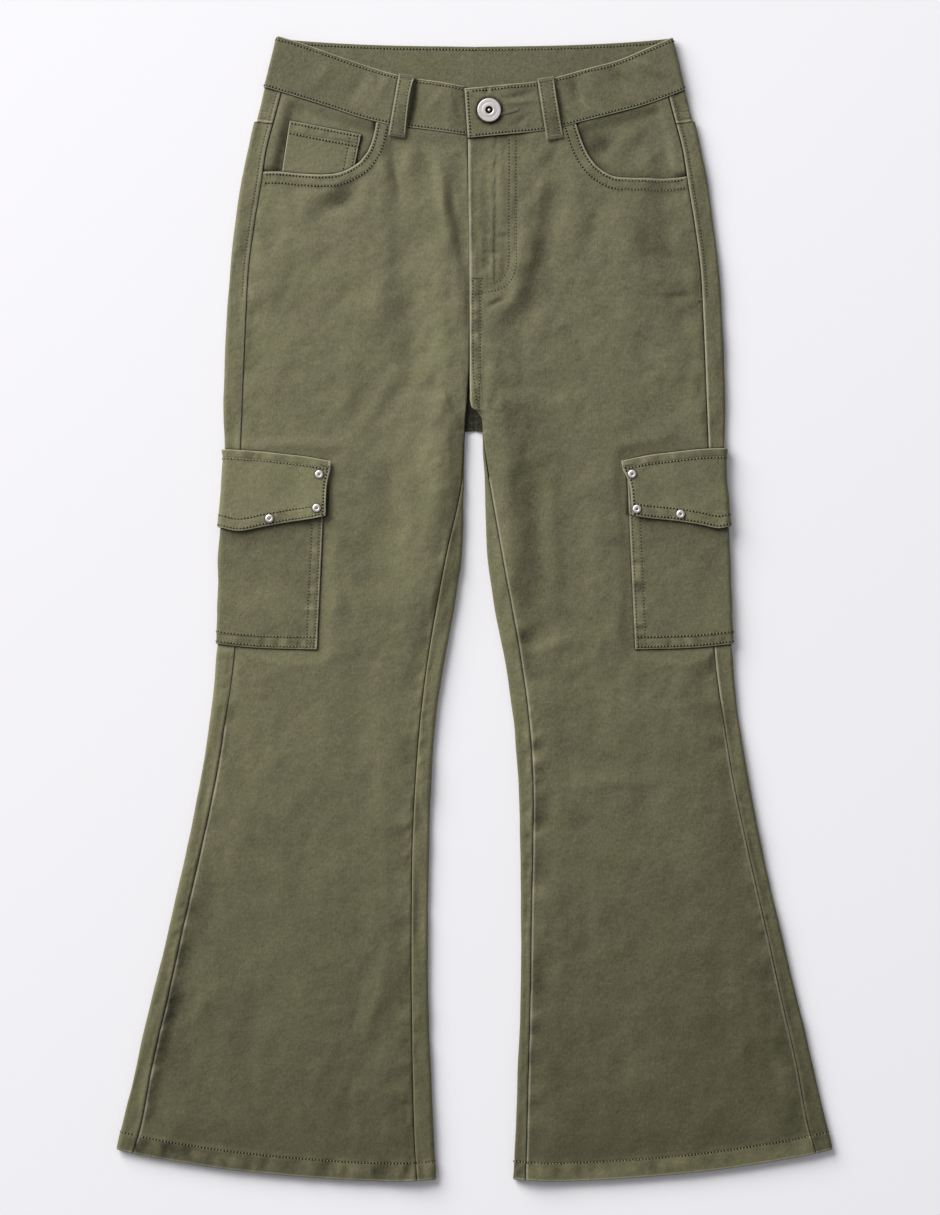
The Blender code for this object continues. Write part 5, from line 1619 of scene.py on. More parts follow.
class Finish(Nodes):
    """A material's nodes."""

    prefix = "ShaderNode"

    def __init__(self, name):
        self.material = bpy.data.materials.new(name)
        self.material.use_nodes = True
        super().__init__(self.material.node_tree)
        self.shader = self.tree.nodes["Principled BSDF"]

    def math(self, operation, a, b=0, kind="Math"):
        node = self.add(kind, operation=operation)
        self.put(a, node.inputs[0])
        self.put(b, node.inputs[1])
        return node.outputs[0]

    def plus(self, a, b):
        return self.math("ADD", a, b)

    def times(self, a, b):
        return self.math("MULTIPLY", a, b)

    def places(self):
        return self.add("TexCoord").outputs["Object"]

    def noise(self, places, scale, detail=2, roughness=0.5):
        return self.made("TexNoise", Vector=places, Scale=scale, Detail=detail, Roughness=roughness)

    def stretched(self, places, scale, turn=0):
        return self.made("Mapping", Vector=places, Scale=scale, Rotation=(0, 0, turn))

    def attribute(self, name):
        return self.add("Attribute", attribute_name=name).outputs["Fac"]

    def mark(self, name, centre, width):
        """1 where the kept distance is at the centre, falling off smoothly over the width."""
        away = self.math("DIVIDE", self.math("SUBTRACT", self.attribute(name), centre), width)
        return self.math("EXPONENT", self.times(self.times(away, away), -1))

    def ramp(self, factor, stops):
        node = self.add("ValToRGB", Fac=factor)
        elements = node.color_ramp.elements
        while len(elements) < len(stops):
            elements.new(0.5)
        for element, (position, colour) in zip(elements, stops):
            element.position = position
            element.color = (*colour, 1)
        return node.outputs["Color"]

    def brightened(self, colour, amount):
        """The colour times a number."""
        return self.made("VectorMath", operation="SCALE", Vector=colour, Scale=amount)

    def bump(self, height, distance, strength, **before):
        return self.made("Bump", Strength=strength, Distance=distance, Height=height, **before)

    def finish(self, **inputs):
        self.feed(self.shader, **inputs)
        return self.material


EDGE_HIGHLIGHT_AND_FUZZ = (0.042, 0.041, 0.058)  # what a pressed edge's painted highlight and its pale worn fibres add to its colour
COLOUR_SPAN = (-0.42, 0.42)  # the colours run from the hem's to the waist's between these y; the darker hems are painted shade for light that falls off down the legs
SIDE_LIGHT = -0.62  # painted light: the tone darkens by this much in a metre towards +x, away from the key light
COLOUR_STOPS = (0.05, 0.42, 1)
GREENER = ((0.3, (1.01, 0.995, 1.02)), (0.7, (0.985, 1.005, 0.94)))
WALE_TURN = math.radians(28)
WALES_IN_PITCH = 0.314  # the wave's scale times the distance between two wales


def twill_material(name, cloth, tone=1):
    """Washed olive twill: a diagonal weave, heathered yarns, soft mottling, and painted light and shade on
    ridges, edges, rows and grooves.
    """
    nodes = Finish(name)
    plus, times = nodes.plus, nodes.times

    def centred(value):
        return nodes.math("SUBTRACT", value, 0.5)

    places = nodes.places()
    own = nodes.made("UVMap", uv_map="cloth")
    shade = nodes.attribute("shade")
    apart = nodes.add("SeparateXYZ", Vector=places)
    height = nodes.made("MapRange", Value=apart.outputs["Y"],
                        From_Min=COLOUR_SPAN[0], From_Max=COLOUR_SPAN[1])
    colours = (tuple(colour) for colour in (cloth.hem_colour, cloth.thigh_colour, cloth.waist_colour))
    colour = nodes.ramp(height, tuple(zip(COLOUR_STOPS, colours)))
    mottle = centred(nodes.noise(places, 16, 3, 0.6))
    patches = centred(nodes.noise(places, 70, 3, 0.6))
    grain = centred(nodes.noise(places, 520, 3, 0.7))
    slubs = centred(nodes.noise(nodes.stretched(own, (1000, 300, 1), 0.35), 1))
    wefts = centred(nodes.noise(nodes.stretched(own, (160, 1300, 1)), 1))
    twill = nodes.add("TexWave", wave_type="BANDS", bands_direction="X",
                      Vector=nodes.stretched(own, (1, 1, 1), WALE_TURN), Distortion=1.2, Detail=1,
                      Detail_Scale=2, Scale=WALES_IN_PITCH / cloth.twill_pitch).outputs["Fac"]
    wale = centred(twill)
    specks = centred(nodes.noise(places, 210, 3, 0.65))
    total = times(mottle, 0.2)
    # the shade mark adds painted light and shade, weighted by the cloth's wear and shade setting
    for part, weight in ((patches, 0.27), (specks, 0.36), (grain, 0.72), (slubs, 0.55), (wefts, 0.3),
                         (wale, 0.12), (shade, cloth.wear), (apart.outputs["X"], SIDE_LIGHT)):
        total = plus(total, times(part, weight))
    # painted highlight on pressed edges, partly their worn fibres
    lit = nodes.mark("edge", 0.8, 0.68)
    # painted shadow line beside other pieces' edges
    dark = nodes.mark("gap", 0.1, 0.8)
    # the rows of sewing are painted a little darker, as shade in their furrows
    rows = plus(nodes.mark("rows", 0, 0.6), nodes.mark("cross_rows", 0, 0.6))
    for part, weight in ((lit, cloth.edge_light), (rows, -0.06)):
        total = plus(total, times(part, weight))
    amount = nodes.math("MAXIMUM", plus(total, 1), 0.1)
    amount = times(amount, nodes.math("SUBTRACT", 1, times(dark, 0.8)))
    tint = nodes.ramp(nodes.noise(places, 34, 2, 0.6), GREENER)
    colour = nodes.math("MULTIPLY", colour, tint, "VectorMath")
    # the colour with the pale painted highlight of pressed edges added
    lit_and_worn = nodes.add("VectorMath", operation="MULTIPLY_ADD", Vector=lit)
    nodes.put(EDGE_HIGHLIGHT_AND_FUZZ, lit_and_worn.inputs[1])
    nodes.put(nodes.brightened(colour, times(amount, tone)), lit_and_worn.inputs[2])
    rough = plus(times(grain, 0.2), 0.86)
    normal = nodes.bump(times(rows, -1), 0.00025, 0.8)
    normal = nodes.bump(nodes.noise(places, 330), 0.0004, 0.6, Normal=normal)
    normal = nodes.bump(plus(slubs, grain), 0.00025, 0.7, Normal=normal)
    normal = nodes.bump(twill, 0.0001, 0.5, Normal=normal)
    return nodes.finish(Base_Color=lit_and_worn.outputs["Vector"], Roughness=rough, Specular_IOR_Level=0.22,
                        Sheen_Weight=cloth.sheen, Sheen_Roughness=0.5, Sheen_Tint=(0.78, 0.76, 0.6, 1),
                        Normal=normal)


def thread_material(name, colour, shine=0.3):
    """Spun thread: a fine lengthwise grain, a little lighter on top of its twists."""
    nodes = Finish(name)
    places = nodes.places()
    fibres = nodes.noise(places, 2600, 2, 0.6)
    tones = nodes.noise(places, 120, 2, 0.6)
    amount = nodes.plus(nodes.times(fibres, 0.5), nodes.times(tones, 0.4))
    colour = nodes.brightened((*colour[:3],), nodes.plus(amount, 0.55))
    return nodes.finish(Base_Color=colour, Roughness=0.8, Specular_IOR_Level=shine,
                        Sheen_Weight=0.5 * shine, Normal=nodes.bump(fibres, 0.0001, 0.6))


def metal_material(name, colour, roughness):
    """Plated metal with fine scratches."""
    nodes = Finish(name)
    places = nodes.places()
    scratches = nodes.noise(nodes.stretched(places, (900, 5200, 900), 0.6), 1, 3, 0.6)
    spots = nodes.noise(places, 1500, 2, 0.6)
    tone = nodes.plus(nodes.times(spots, 0.22), 0.88)
    colour = nodes.brightened((*colour[:3],), tone)
    rough = nodes.plus(nodes.times(scratches, 0.2), roughness - 0.1)
    return nodes.finish(Base_Color=colour, Metallic=1, Roughness=rough,
                        Normal=nodes.bump(scratches, 0.00003, 0.4))


def floor_material(name, colour):
    nodes = Finish(name)
    faint = nodes.noise(nodes.places(), 3)
    amount = nodes.plus(nodes.times(faint, 0.01), 0.995)
    return nodes.finish(Base_Color=nodes.brightened((*colour[:3],), amount), Roughness=0.9,
                        Specular_IOR_Level=0.1)


MATERIALS = {}


def material(name):
    """The named finish, made when it is first asked for."""
    if name not in MATERIALS:
        scene = bpy.context.scene
        sewing = scene.pants_sewing
        metal = scene.pants_metal
        maker, *values = {
            "olive_twill": (twill_material, scene.pants_cloth),
            "zip_tape": (twill_material, scene.pants_cloth, 0.6),
            "olive_thread": (thread_material, sewing.thread_colour),
            "tack_thread": (thread_material, sewing.tack_colour),
            # near-black, for the painted shade in the button's and studs' hollows
            "dark_recess": (thread_material, (0.012, 0.011, 0.01), 0.1),
            # near-black dots between stitches: painted shade where the thread dips into its needle holes
            "faint_mark": (thread_material, (0.05, 0.047, 0.027), 0),
            "needle_mark": (thread_material, sewing.mark_colour, 0),
            "satin_silver": (metal_material, metal.colour, metal.roughness),
        }[name]
        MATERIALS[name] = maker(name, *values)
    return MATERIALS[name]


# --- making the pieces ---

def declare(piece, node):
    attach(piece, "root")
    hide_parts(node)
    return piece


def cloth_shell(node, side, grid, looks, flip, low=False, **more):
    """A shell in the garment's cloth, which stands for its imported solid; a low one rests on the floor."""
    relief, marks = looks
    if low:
        relief = rest_on_floor(grid, relief, marks, flip)
    piece, OUTER[node] = shell(node + "_cloth", side, grid, relief, marks, flip, **more)
    return declare(piece, node)


def make_front_panel(side):
    grid = front_grid(side)
    looks = front_relief(side, grid[..., 0], grid[..., 1])
    piece = cloth_shell("front_panel_" + side.name, side, grid, looks, False, extra=hem_extra(len(grid)))


def make_back_panel(side):
    grid, crotch = back_grid(side)
    piece = cloth_shell("back_panel_" + side.name, side, grid, back_relief(side, grid), True, True,
                        extra=hem_extra(len(grid)), step_row=crotch, flat_end=True)


def make_yoke(side):
    grid = yoke_grid(side)
    piece = cloth_shell("back_yoke_" + side.name, side, grid, back_relief(side, grid, True), True, True)


def make_band(side):
    grid = band_grid(side)
    inner = band_inner_relief(side, grid)
    drop = rim_drop(*grid.shape[:2])
    drop[1:-1, -1] = 0
    piece = cloth_shell("waistband_" + side.name, side, grid, band_relief(side, grid), True, True,
                        cloth=BAND_CLOTH, coarse=1, inner_relief=-inner, drop=drop, flat_end=True)
    normals = grid_normals(grid, True)
    OUTER["waistband_inside_" + side.name] = grid - normals * (BAND_CLOTH / 2 + inner)[..., None]


def loop_grid(top_x, top_y, bottom_x, bottom_y, tilt=0):
    """Middle of a front belt loop: its ends sit on the band, its middle and one edge stand off it."""
    band = BAND_FRONT_MID + BAND_CLOTH / 2 + SEAM_GAP + CLOTH / 2
    share, across = np.meshgrid(rimmed(48, 0.008),
                                with_rims(np.linspace(-0.5, 0.5, 18), 0.03), indexing="ij")
    turned = (bottom_x - top_x) / (top_y - bottom_y) * across * LOOP_WIDTH
    arch = np.sin(math.pi * share) ** 2
    z = band + LOOP_ARCH * arch + tilt * (0.5 + across) * np.sin(math.pi * share ** 0.6)
    bow = LOOP_BOW * (0.5 + across) * np.sin(math.pi * share ** 0.6) * tilt / 2
    x = mix(top_x, bottom_x, share) + across * LOOP_WIDTH - bow
    return joined(x, mix(top_y, bottom_y, share) + turned, z)


def loop_relief(grid, seed):
    marks, x, y, run = opened(grid)
    to_end = run[:, -1:] - run
    down = downwards(grid, 0, LOOP_LENGTH)
    from_end = np.minimum(down, LOOP_LENGTH - down)
    soft = 0.16 * turned_noise(x, y, 9, seed)
    middle = 0.3 * bump(run - LOOP_WIDTH / 2, 3.2)
    ends = -0.25 * bump(from_end - 1.8, 1.6)
    waves = 0.12 * noise(down, run * 0.3, 4, seed + 9)
    # painted light and shade of the waves, painted shade at the sewn-down ends, and the whole loop toned
    # darker
    marks.shade = 0.5 * waves - 0.35 * bump(from_end - 1.8, 1.4) - 0.45
    marks.edge_at(np.minimum(np.minimum(run, to_end), from_end))
    marks.rows_at(run, (LOOP_ROW, LOOP_WIDTH - LOOP_ROW), cross=True)
    return soft + middle + ends + waves, marks


def make_loops():
    for k, (name, *ends) in enumerate(FRONT_LOOPS):
        grid = loop_grid(*ends, LOOP_TILTS[k])
        piece = cloth_shell(name, RIGHT, grid, loop_relief(grid, 121 + k), True, coarse=1)
        sew_loop(OUTER[name])
    for k, (name, x) in enumerate(BACK_LOOPS):
        top = RIGHT.back_band_top(abs(x)) - 1
        bottom = RIGHT.back_band_bottom(abs(x)) - BACK_LOOP_DROP
        grid = loop_grid(x, top, x, bottom)
        grid[..., 2] = FLOOR_MID
        piece = cloth_shell(name, RIGHT, grid, loop_relief(grid, 131 + k), False, True, coarse=1)
        sew_loop(OUTER[name])


def make_hip_pockets():
    for side in SIDES:
        grid = facing_grid(side)
        looks = facing_relief(side, grid[..., 0], grid[..., 1])
        piece = cloth_shell("pocket_facing_" + side.name, side, grid, looks, False)
    grid = coin_grid(LEFT)
    piece = cloth_shell("coin_pocket", LEFT, grid, coin_relief(LEFT, grid), False)
    sew_hip_pockets()


def make_cargo_pockets():
    for side in SIDES:
        grid = pocket_grid(side)
        grid = grid + grid_normals(grid, True) * LAYER
        looks = pocket_relief(side, grid)
        piece = cloth_shell("cargo_pocket_" + side.name, side, grid, looks, True, True)
        grid = flap_grid(side)
        grid = grid + grid_normals(grid, True) * 2 * LAYER
        grid[..., 2] += flap_lift(side, grid) * np.clip(grid_normals(grid, True)[..., 2], 0, 1)
        piece = cloth_shell("cargo_flap_" + side.name, side, grid, flap_relief(side, grid), True, True)
        sew_cargo(side)


# --- sewing by geometry nodes ---

def sewing_tree():
    """Lays small thread lengths along lines: along them for a row, across them for a bar tack."""
    tree = bpy.data.node_groups.new("Sewing along lines", "GeometryNodeTree")
    for kind, names in (("Geometry", ("Geometry",)),
                        ("Float", ("Pitch", "Length", "Width", "Height", "Turn", "Shift", "Sink")),
                        ("Int", ("Seed",)), ("Material", ("Thread",))):
        for name in names:
            tree.interface.new_socket(name, in_out="INPUT", socket_type="NodeSocket" + kind)
    tree.interface.new_socket("Geometry", in_out="OUTPUT", socket_type="NodeSocketGeometry")

    nodes = Nodes(tree)
    made = nodes.made
    start = nodes.add("NodeGroupInput").outputs
    curve = made("GeometryNodeMeshToCurve", Mesh=start["Geometry"])
    even = made("GeometryNodeResampleCurve", mode="LENGTH", Curve=curve, Length=start["Pitch"])
    align = made("FunctionNodeAlignRotationToVector", axis="X", Vector=made("GeometryNodeInputTangent"))
    turn = made("FunctionNodeEulerToRotation", Euler=made("ShaderNodeCombineXYZ", Z=start["Turn"]))
    turned = made("FunctionNodeRotateRotation", rotation_space="LOCAL", Rotation=align, Rotate_By=turn)
    ball = made("GeometryNodeMeshUVSphere", Segments=6, Rings=4, Radius=0.5)
    sizes = made("ShaderNodeCombineXYZ", X=start["Length"], Y=start["Width"], Z=start["Height"])
    moved = made("ShaderNodeCombineXYZ", X=start["Shift"], Z=start["Sink"])
    shaped = made("GeometryNodeTransform", Geometry=ball, Scale=sizes, Translation=moved)
    smooth = made("GeometryNodeSetShadeSmooth", Geometry=shaped)
    vary = made("FunctionNodeRandomValue", data_type="FLOAT_VECTOR", Seed=start["Seed"],
                Min=(0.86, 0.88, 0.88), Max=(1.08, 1.1, 1.1))
    place = made("GeometryNodeInstanceOnPoints", Points=even, Instance=smooth, Rotation=turned, Scale=vary)
    real = made("GeometryNodeRealizeInstances", Geometry=place)
    paint = made("GeometryNodeSetMaterial", Geometry=real, Material=start["Thread"])
    nodes.add("NodeGroupOutput", Geometry=paint)
    return tree


def sew(name, tree, lines, thread, **sizes):
    """A mesh of thread along the lines; it becomes a plain mesh at once."""
    points = []
    edges = []
    for line in lines:
        first = len(points)
        points += line.tolist()
        edges += [(first + k, first + k + 1) for k in range(len(line) - 1)]
    mesh = bpy.data.meshes.new(name)
    mesh.from_pydata(points, edges, [])
    piece = bpy.data.objects.new(name, mesh)
    bpy.context.scene.collection.objects.link(piece)
    modifier = piece.modifiers.new("Sewing", "NODES")
    sockets = tree.interface.items_tree
    modifier.node_group = tree
    for key, value in sizes.items():
        modifier[sockets[key].identifier] = value
    modifier[sockets["Thread"].identifier] = thread
    made = bpy.data.meshes.new_from_object(piece.evaluated_get(bpy.context.evaluated_depsgraph_get()))
    piece.modifiers.clear()
    piece.data = made
    made.name = name
    if not len(made.polygons):
        raise RuntimeError(name + ": no thread was laid")
    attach(piece, "root")
    return piece


# --- metal ---

# radius, height over the cloth
STUD_PROFILE = ((3.1, 0), (3.15, 0.35), (3.05, 0.75), (2.75, 1.1), (2.35, 1.32), (1.95, 1.42), (1.6, 1.4),
                (1.35, 1.27), (1.15, 1.2), (0.9, 1.24), (0.6, 1.33), (0.3, 1.38))
BUTTON_PROFILE = ((7.4, 0), (8.1, 0.3), (8.5, 0.9), (8.62, 1.5), (8.5, 1.9), (8.25, 2.1), (7.9, 2.14),
                  (7.5, 2.1), (6.6, 2.13), (5.9, 2.16), (5.65, 2.08), (5.4, 2.17), (4.7, 2.2), (3.8, 2.25),
                  (3.3, 2.28), (3, 2.2), (2.7, 1.95), (2.5, 1.5), (2.4, 1), (1.15, 0.95),
                  (1.05, 1.2), (0.95, 1.6), (0.8, 1.85), (0.4, 1.95))
RECESS = (1, 2.75)  # between these radii the button's centre gets painted shade
# between these radii the studs' dimples get painted shade
STUD_RECESS = (0.5, 1)
STUD_SIDES = 32
BUTTON_SIDES = 72


def turned_piece(name, profile, sides, centre, finish, recess=None):
    """A round piece standing on its base: profile rows are radius and height, rim first."""
    points = []
    for radius, height in profile:
        for k in range(sides):
            angle = 2 * math.pi * k / sides
            place = Vector((radius * math.cos(angle), radius * math.sin(angle), height))
            points.append(place * MM + centre)
    faces = []
    for ring in range(len(profile) - 1):
        for k in range(sides):
            here = ring * sides + k
            beside_it = ring * sides + (k + 1) % sides
            faces.append((here, beside_it, beside_it + sides, here + sides))
    faces.append(tuple(range(sides - 1, -1, -1)))
    last = (len(profile) - 1) * sides
    faces.append(tuple(range(last, last + sides)))
    piece = add_piece(name, points, faces, finish)
    # rings between the recess radii get a near-black material: painted shade in the hollow
    if recess is not None:
        piece.data.materials.append(material("dark_recess"))
        for ring, (radius, _) in enumerate(profile[:-1]):
            if recess[0] < radius < recess[1]:
                for k in range(sides):
                    piece.data.polygons[ring * sides + k].material_index = 1
    return piece


def make_hardware():
    silver = material("satin_silver")
    for name, x, y in STUDS:
        side = LEFT if x < 0 else RIGHT
        flap = OUTER["cargo_flap_" + side.name]
        away = np.hypot(flap[..., 0] - abs(x), flap[..., 1] - y) + 50 * (flap[..., 2] < 3)
        base = flap[np.unravel_index(np.argmin(away), away.shape)][2]
        centre = Vector(side.world((abs(x), y, base)).tolist())
        piece = turned_piece(name + "_metal", STUD_PROFILE, STUD_SIDES, centre, silver, STUD_RECESS)
        declare(piece, name)
    centre = Vector(RIGHT.world((*BUTTON_AT, BAND_OVER_MID + BAND_CLOTH / 2 + 0.2)).tolist())
    piece = turned_piece("waist_button_metal", BUTTON_PROFILE, BUTTON_SIDES, centre, silver, RECESS)
    declare(piece, "waist_button")


# --- the add-on's settings ---

COLOUR = {"subtype": "COLOR", "size": 3, "min": 0.0, "max": 1.0}


class ClothSettings(bpy.types.PropertyGroup):
    """Colours and finish of the twill"""

    waist_colour: FloatVectorProperty(
        name="Waist colour", description="Olive of the cloth near the waist",
        default=(0.16, 0.154, 0.092), **COLOUR)
    thigh_colour: FloatVectorProperty(
        name="Thigh colour", description="Olive of the cloth at the thighs",
        default=(0.141, 0.135, 0.077), **COLOUR)
    # the hem colour is darker: painted shade for light that falls off down the legs
    hem_colour: FloatVectorProperty(
        name="Hem colour", description="Olive of the cloth near the hems",
        default=(0.097, 0.092, 0.051), **COLOUR)
    twill_pitch: FloatProperty(
        name="Twill pitch", description="Distance between the weave's diagonal wales", unit="LENGTH",
        default=0.0009, min=0.0004, max=0.003)
    # this setting scales the shade mark: lighter worn ridges, and painted shade in grooves and under and
    # beside other pieces
    wear: FloatProperty(
        name="Wear", description="How much lighter worn ridges are, and darker the grooves",
        default=0.55, min=0.0, max=1.0)
    # edge_light: strength of the painted highlight on pressed edges, partly their worn fibres
    edge_light: FloatProperty(
        name="Edge light", description="How much lighter pressed edges are",
        default=0.7, min=0.0, max=2.0)
    sheen: FloatProperty(
        name="Sheen", description="Strength of the cloth's soft sheen", default=0.12, min=0.0, max=1.0)


class SewingSettings(bpy.types.PropertyGroup):
    """Sizes and colours of the thread"""

    pitch: FloatProperty(
        name="Stitch pitch", description="Distance from one stitch to the next", unit="LENGTH",
        default=0.0024, min=0.001, max=0.006)
    length: FloatProperty(
        name="Stitch length", description="Length of thread that shows in a stitch", unit="LENGTH",
        default=0.0013, min=0.001, max=0.006)
    width: FloatProperty(
        name="Thread width", description="Thickness of the thread", unit="LENGTH",
        default=0.00075, min=0.0002, max=0.001)
    mark_length: FloatProperty(
        name="Needle mark", description="Length of the small hole between two stitches", unit="LENGTH",
        default=0.0013, min=0.0002, max=0.003)
    thread_colour: FloatVectorProperty(
        name="Thread colour", description="Colour of the sewing thread",
        default=(0.25, 0.243, 0.158), **COLOUR)
    tack_colour: FloatVectorProperty(
        name="Bar tack colour", description="Colour of the bar tacks' thread",
        default=(0.17, 0.163, 0.1), **COLOUR)
    # the needle marks' near-black colour is painted shade where the thread dips into the cloth
    mark_colour: FloatVectorProperty(
        name="Needle mark colour", description="Colour of the small holes between stitches",
        default=(0.016, 0.015, 0.008), **COLOUR)
    seed: IntProperty(name="Seed", description="Changes the stitches' small unevenness", default=4, min=0)


class MetalSettings(bpy.types.PropertyGroup):
    """Finish of the button and the studs"""

    colour: FloatVectorProperty(
        name="Metal colour", description="Colour of the plated metal",
        default=(0.78, 0.745, 0.73), **COLOUR)
    roughness: FloatProperty(
        name="Roughness", description="How satin the metal is", default=0.55, min=0.05, max=1.0)


class StageSettings(bpy.types.PropertyGroup):
    """Floor, light and camera"""

    floor_colour: FloatVectorProperty(
        name="Floor colour", description="Colour of the plain floor",
        default=(0.925, 0.92, 0.965), **COLOUR)
    key_power: FloatProperty(
        name="Key light", description="Power of the large soft light, in watts", default=1480.0, min=0.0)
    sky_strength: FloatProperty(
        name="Surround light", description="Strength of the even light from all round",
        default=0.31, min=0.0)
    camera_height: FloatProperty(
        name="Camera height", description="Height of the camera above the floor", unit="LENGTH",
        default=3.4, min=0.5, max=10.0)


# --- operators: one for each piece or group of like pieces ---

class PANTS_OT_front_panels(bpy.types.Operator):
    """Make the two front panels with their creases and fly"""
    bl_idname = "pants.front_panels"
    bl_label = "Front panels"

    def execute(self, context):
        for side in SIDES:
            make_front_panel(side)
            sew_front(side)
        return {"FINISHED"}


class PANTS_OT_back_panels(bpy.types.Operator):
    """Make the two back panels and the yokes above them"""
    bl_idname = "pants.back_panels"
    bl_label = "Back panels and yokes"

    def execute(self, context):
        for side in SIDES:
            make_back_panel(side)
            make_yoke(side)
            sew_back(side)
        return {"FINISHED"}


class PANTS_OT_waistband(bpy.types.Operator):
    """Make both halves of the waistband"""
    bl_idname = "pants.waistband"
    bl_label = "Waistband"

    def execute(self, context):
        for side in SIDES:
            make_band(side)
            sew_band(side)
        return {"FINISHED"}


class PANTS_OT_belt_loops(bpy.types.Operator):
    """Make the belt loops, two in front and three behind"""
    bl_idname = "pants.belt_loops"
    bl_label = "Belt loops"

    def execute(self, context):
        make_loops()
        return {"FINISHED"}


class PANTS_OT_hip_pockets(bpy.types.Operator):
    """Make the hip pockets' facings and the coin pocket"""
    bl_idname = "pants.hip_pockets"
    bl_label = "Hip pockets"

    def execute(self, context):
        make_hip_pockets()
        return {"FINISHED"}


class PANTS_OT_cargo_pockets(bpy.types.Operator):
    """Make the cargo pockets and their flaps"""
    bl_idname = "pants.cargo_pockets"
    bl_label = "Cargo pockets and flaps"

    def execute(self, context):
        make_cargo_pockets()
        return {"FINISHED"}


FAINT_SHARE = 0.72  # size of the thread in rows that sink into the cloth


class PANTS_OT_sewing(bpy.types.Operator):
    """Lay the thread along every row with painted shade at its needle holes, and the bar tacks"""
    bl_idname = "pants.sewing"
    bl_label = "Sewing"

    def execute(self, context):
        if not SEWING.rows:
            raise RuntimeError("make the cloth pieces before the sewing")
        sizes = context.scene.pants_sewing
        tree = sewing_tree()
        common = {"Pitch": sizes.pitch, "Seed": sizes.seed, "Turn": 0.0}
        for name, rows, share, mark in (("", SEWING.rows, 1.0, "needle_mark"),
                                        ("faint_", SEWING.faint, FAINT_SHARE, "faint_mark")):
            sew(name + "stitches", tree, rows, material("olive_thread"), Length=sizes.length,
                Width=sizes.width * share, Height=sizes.width * share, Shift=0.0, Sink=0.00004, **common)
            # dark dots between the stitches: painted shade at the needle holes
            sew(name + "needle_marks", tree, rows, material(mark), Length=sizes.mark_length * share,
                Width=sizes.width * 1.9 * share, Height=0.0005, Shift=sizes.pitch / 2, Sink=0.0001,
                **common)
        sew("bar_tacks", tree, SEWING.tacks, material("tack_thread"), Pitch=0.0005, Seed=sizes.seed,
            Turn=math.pi / 2, Length=0.0021, Width=0.0005, Height=0.0005, Shift=0.0, Sink=0.00012)
        return {"FINISHED"}


class PANTS_OT_hardware(bpy.types.Operator):
    """Make the waist button and the flaps' studs, and finish the zip"""
    bl_idname = "pants.hardware"
    bl_label = "Button, studs and zip"

    def execute(self, context):
        make_hardware()
        zip_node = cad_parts["fly_zip"]
        zip_node.data.materials.clear()
        zip_node.data.materials.append(material("zip_tape"))
        return {"FINISHED"}


class PANTS_OT_stage(bpy.types.Operator):
    """Make the floor, the soft light and the camera"""
    bl_idname = "pants.stage"
    bl_label = "Floor, light and camera"

    def execute(self, context):
        make_stage(context.scene, context.scene.pants_stage)
        return {"FINISHED"}


FRAME_HEIGHT = 0.8906  # what the camera sees of the floor, in metres
FLOOR_Z = -0.0002
LOOK_AT = (-0.0033, 0.0011)


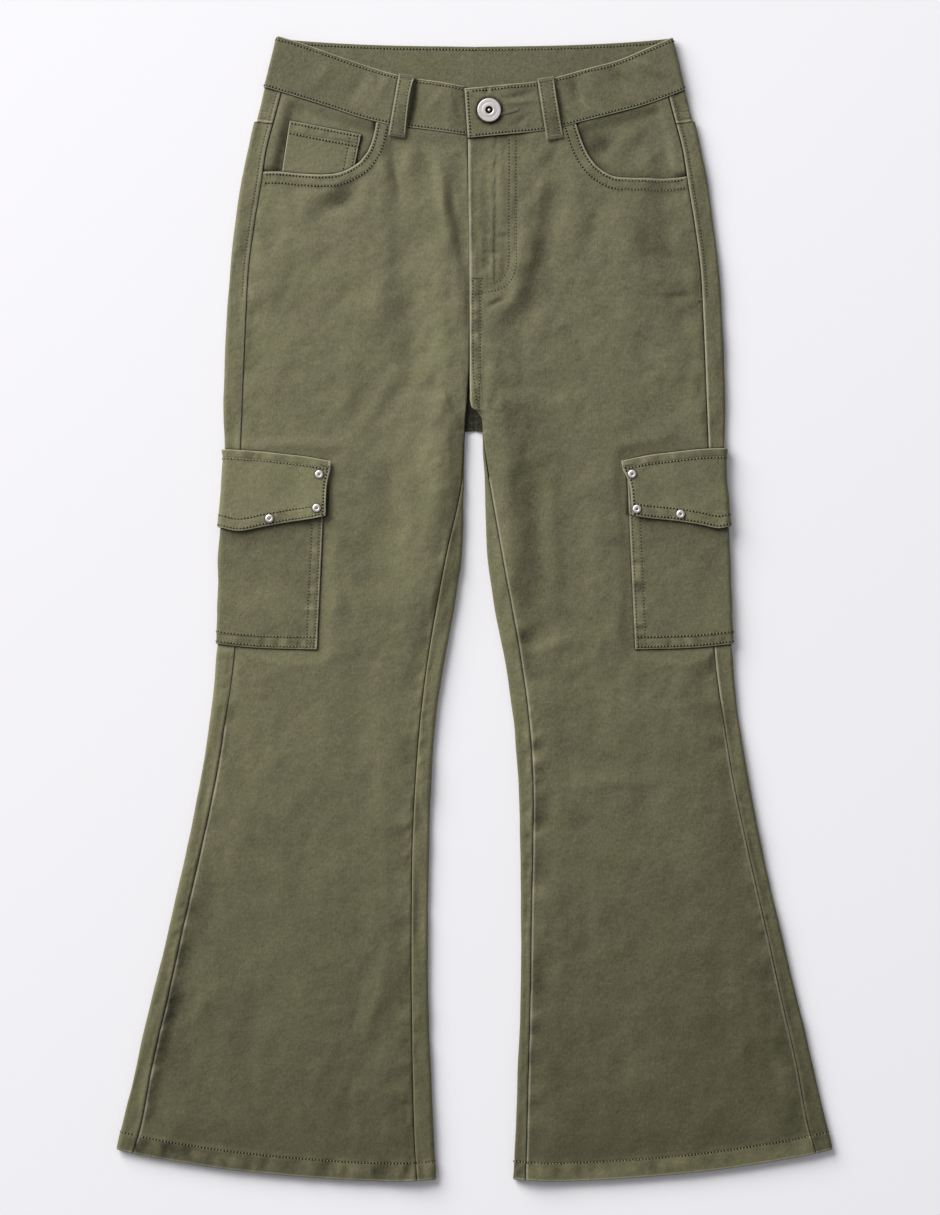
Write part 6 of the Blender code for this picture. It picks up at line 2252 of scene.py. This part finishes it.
def make_stage(scene, sizes):
    corners = [(x, y, FLOOR_Z) for x, y in ((-12, -12), (12, -12), (12, 12), (-12, 12))]
    floor = add_piece("floor", corners, [(0, 1, 2, 3)], floor_material("pale_floor", sizes.floor_colour))
    world = bpy.data.worlds.new("Studio")
    world.use_nodes = True
    back = world.node_tree.nodes["Background"]
    back.inputs["Color"].default_value = (0.98, 0.985, 1.0, 1.0)
    back.inputs["Strength"].default_value = sizes.sky_strength
    scene.world = world
    lamp = bpy.data.lights.new("Key", "AREA")
    lamp.shape = "RECTANGLE"
    lamp.size = 8.0
    lamp.size_y = 6.0
    lamp.energy = sizes.key_power
    lamp.color = (1.0, 0.985, 0.96)
    key = bpy.data.objects.new("Key", lamp)
    key.location = (-5.8, 6.1, 4.4)
    key.rotation_euler = (Vector((0.0, 0.0, 0.0)) - key.location).to_track_quat("-Z", "Y").to_euler()
    scene.collection.objects.link(key)
    eye = bpy.data.cameras.new("Camera")
    eye.lens = 36.0 * sizes.camera_height / FRAME_HEIGHT
    camera = bpy.data.objects.new("Camera", eye)
    camera.location = (*LOOK_AT, sizes.camera_height)
    scene.collection.objects.link(camera)
    scene.camera = camera
    scene.view_settings.view_transform = "Standard"


OPERATORS = (PANTS_OT_front_panels, PANTS_OT_back_panels, PANTS_OT_waistband, PANTS_OT_belt_loops,
             PANTS_OT_hip_pockets, PANTS_OT_cargo_pockets, PANTS_OT_sewing, PANTS_OT_hardware,
             PANTS_OT_stage)
SETTINGS = (("pants_cloth", ClothSettings), ("pants_sewing", SewingSettings),
            ("pants_metal", MetalSettings), ("pants_stage", StageSettings))


class PANTS_PT_panel(bpy.types.Panel):
    """Lists the garment's settings and the steps that build it"""
    bl_idname = "PANTS_PT_panel"
    bl_label = "Cargo pants"
    bl_space_type = "VIEW_3D"
    bl_region_type = "UI"
    bl_category = "Cargo pants"

    def draw(self, context):
        for name, group in SETTINGS:
            box = self.layout.box()
            for key in group.__annotations__:
                box.prop(getattr(context.scene, name), key)
        for operator in OPERATORS:
            self.layout.operator(operator.bl_idname)


def register():
    for name, group in SETTINGS:
        bpy.utils.register_class(group)
        setattr(bpy.types.Scene, name, PointerProperty(type=group))
    for item in OPERATORS + (PANTS_PT_panel,):
        bpy.utils.register_class(item)


def unregister():
    for item in (PANTS_PT_panel,) + OPERATORS[::-1]:
        bpy.utils.unregister_class(item)
    for name, group in SETTINGS[::-1]:
        delattr(bpy.types.Scene, name)
        bpy.utils.unregister_class(group)


def main():
    register()
    bpy.ops.pants.front_panels()
    bpy.ops.pants.back_panels()
    bpy.ops.pants.waistband()
    bpy.ops.pants.belt_loops()
    bpy.ops.pants.hip_pockets()
    bpy.ops.pants.cargo_pockets()
    bpy.ops.pants.sewing()
    bpy.ops.pants.hardware()
    bpy.ops.pants.stage()


if __name__ == "__main__":
    main()
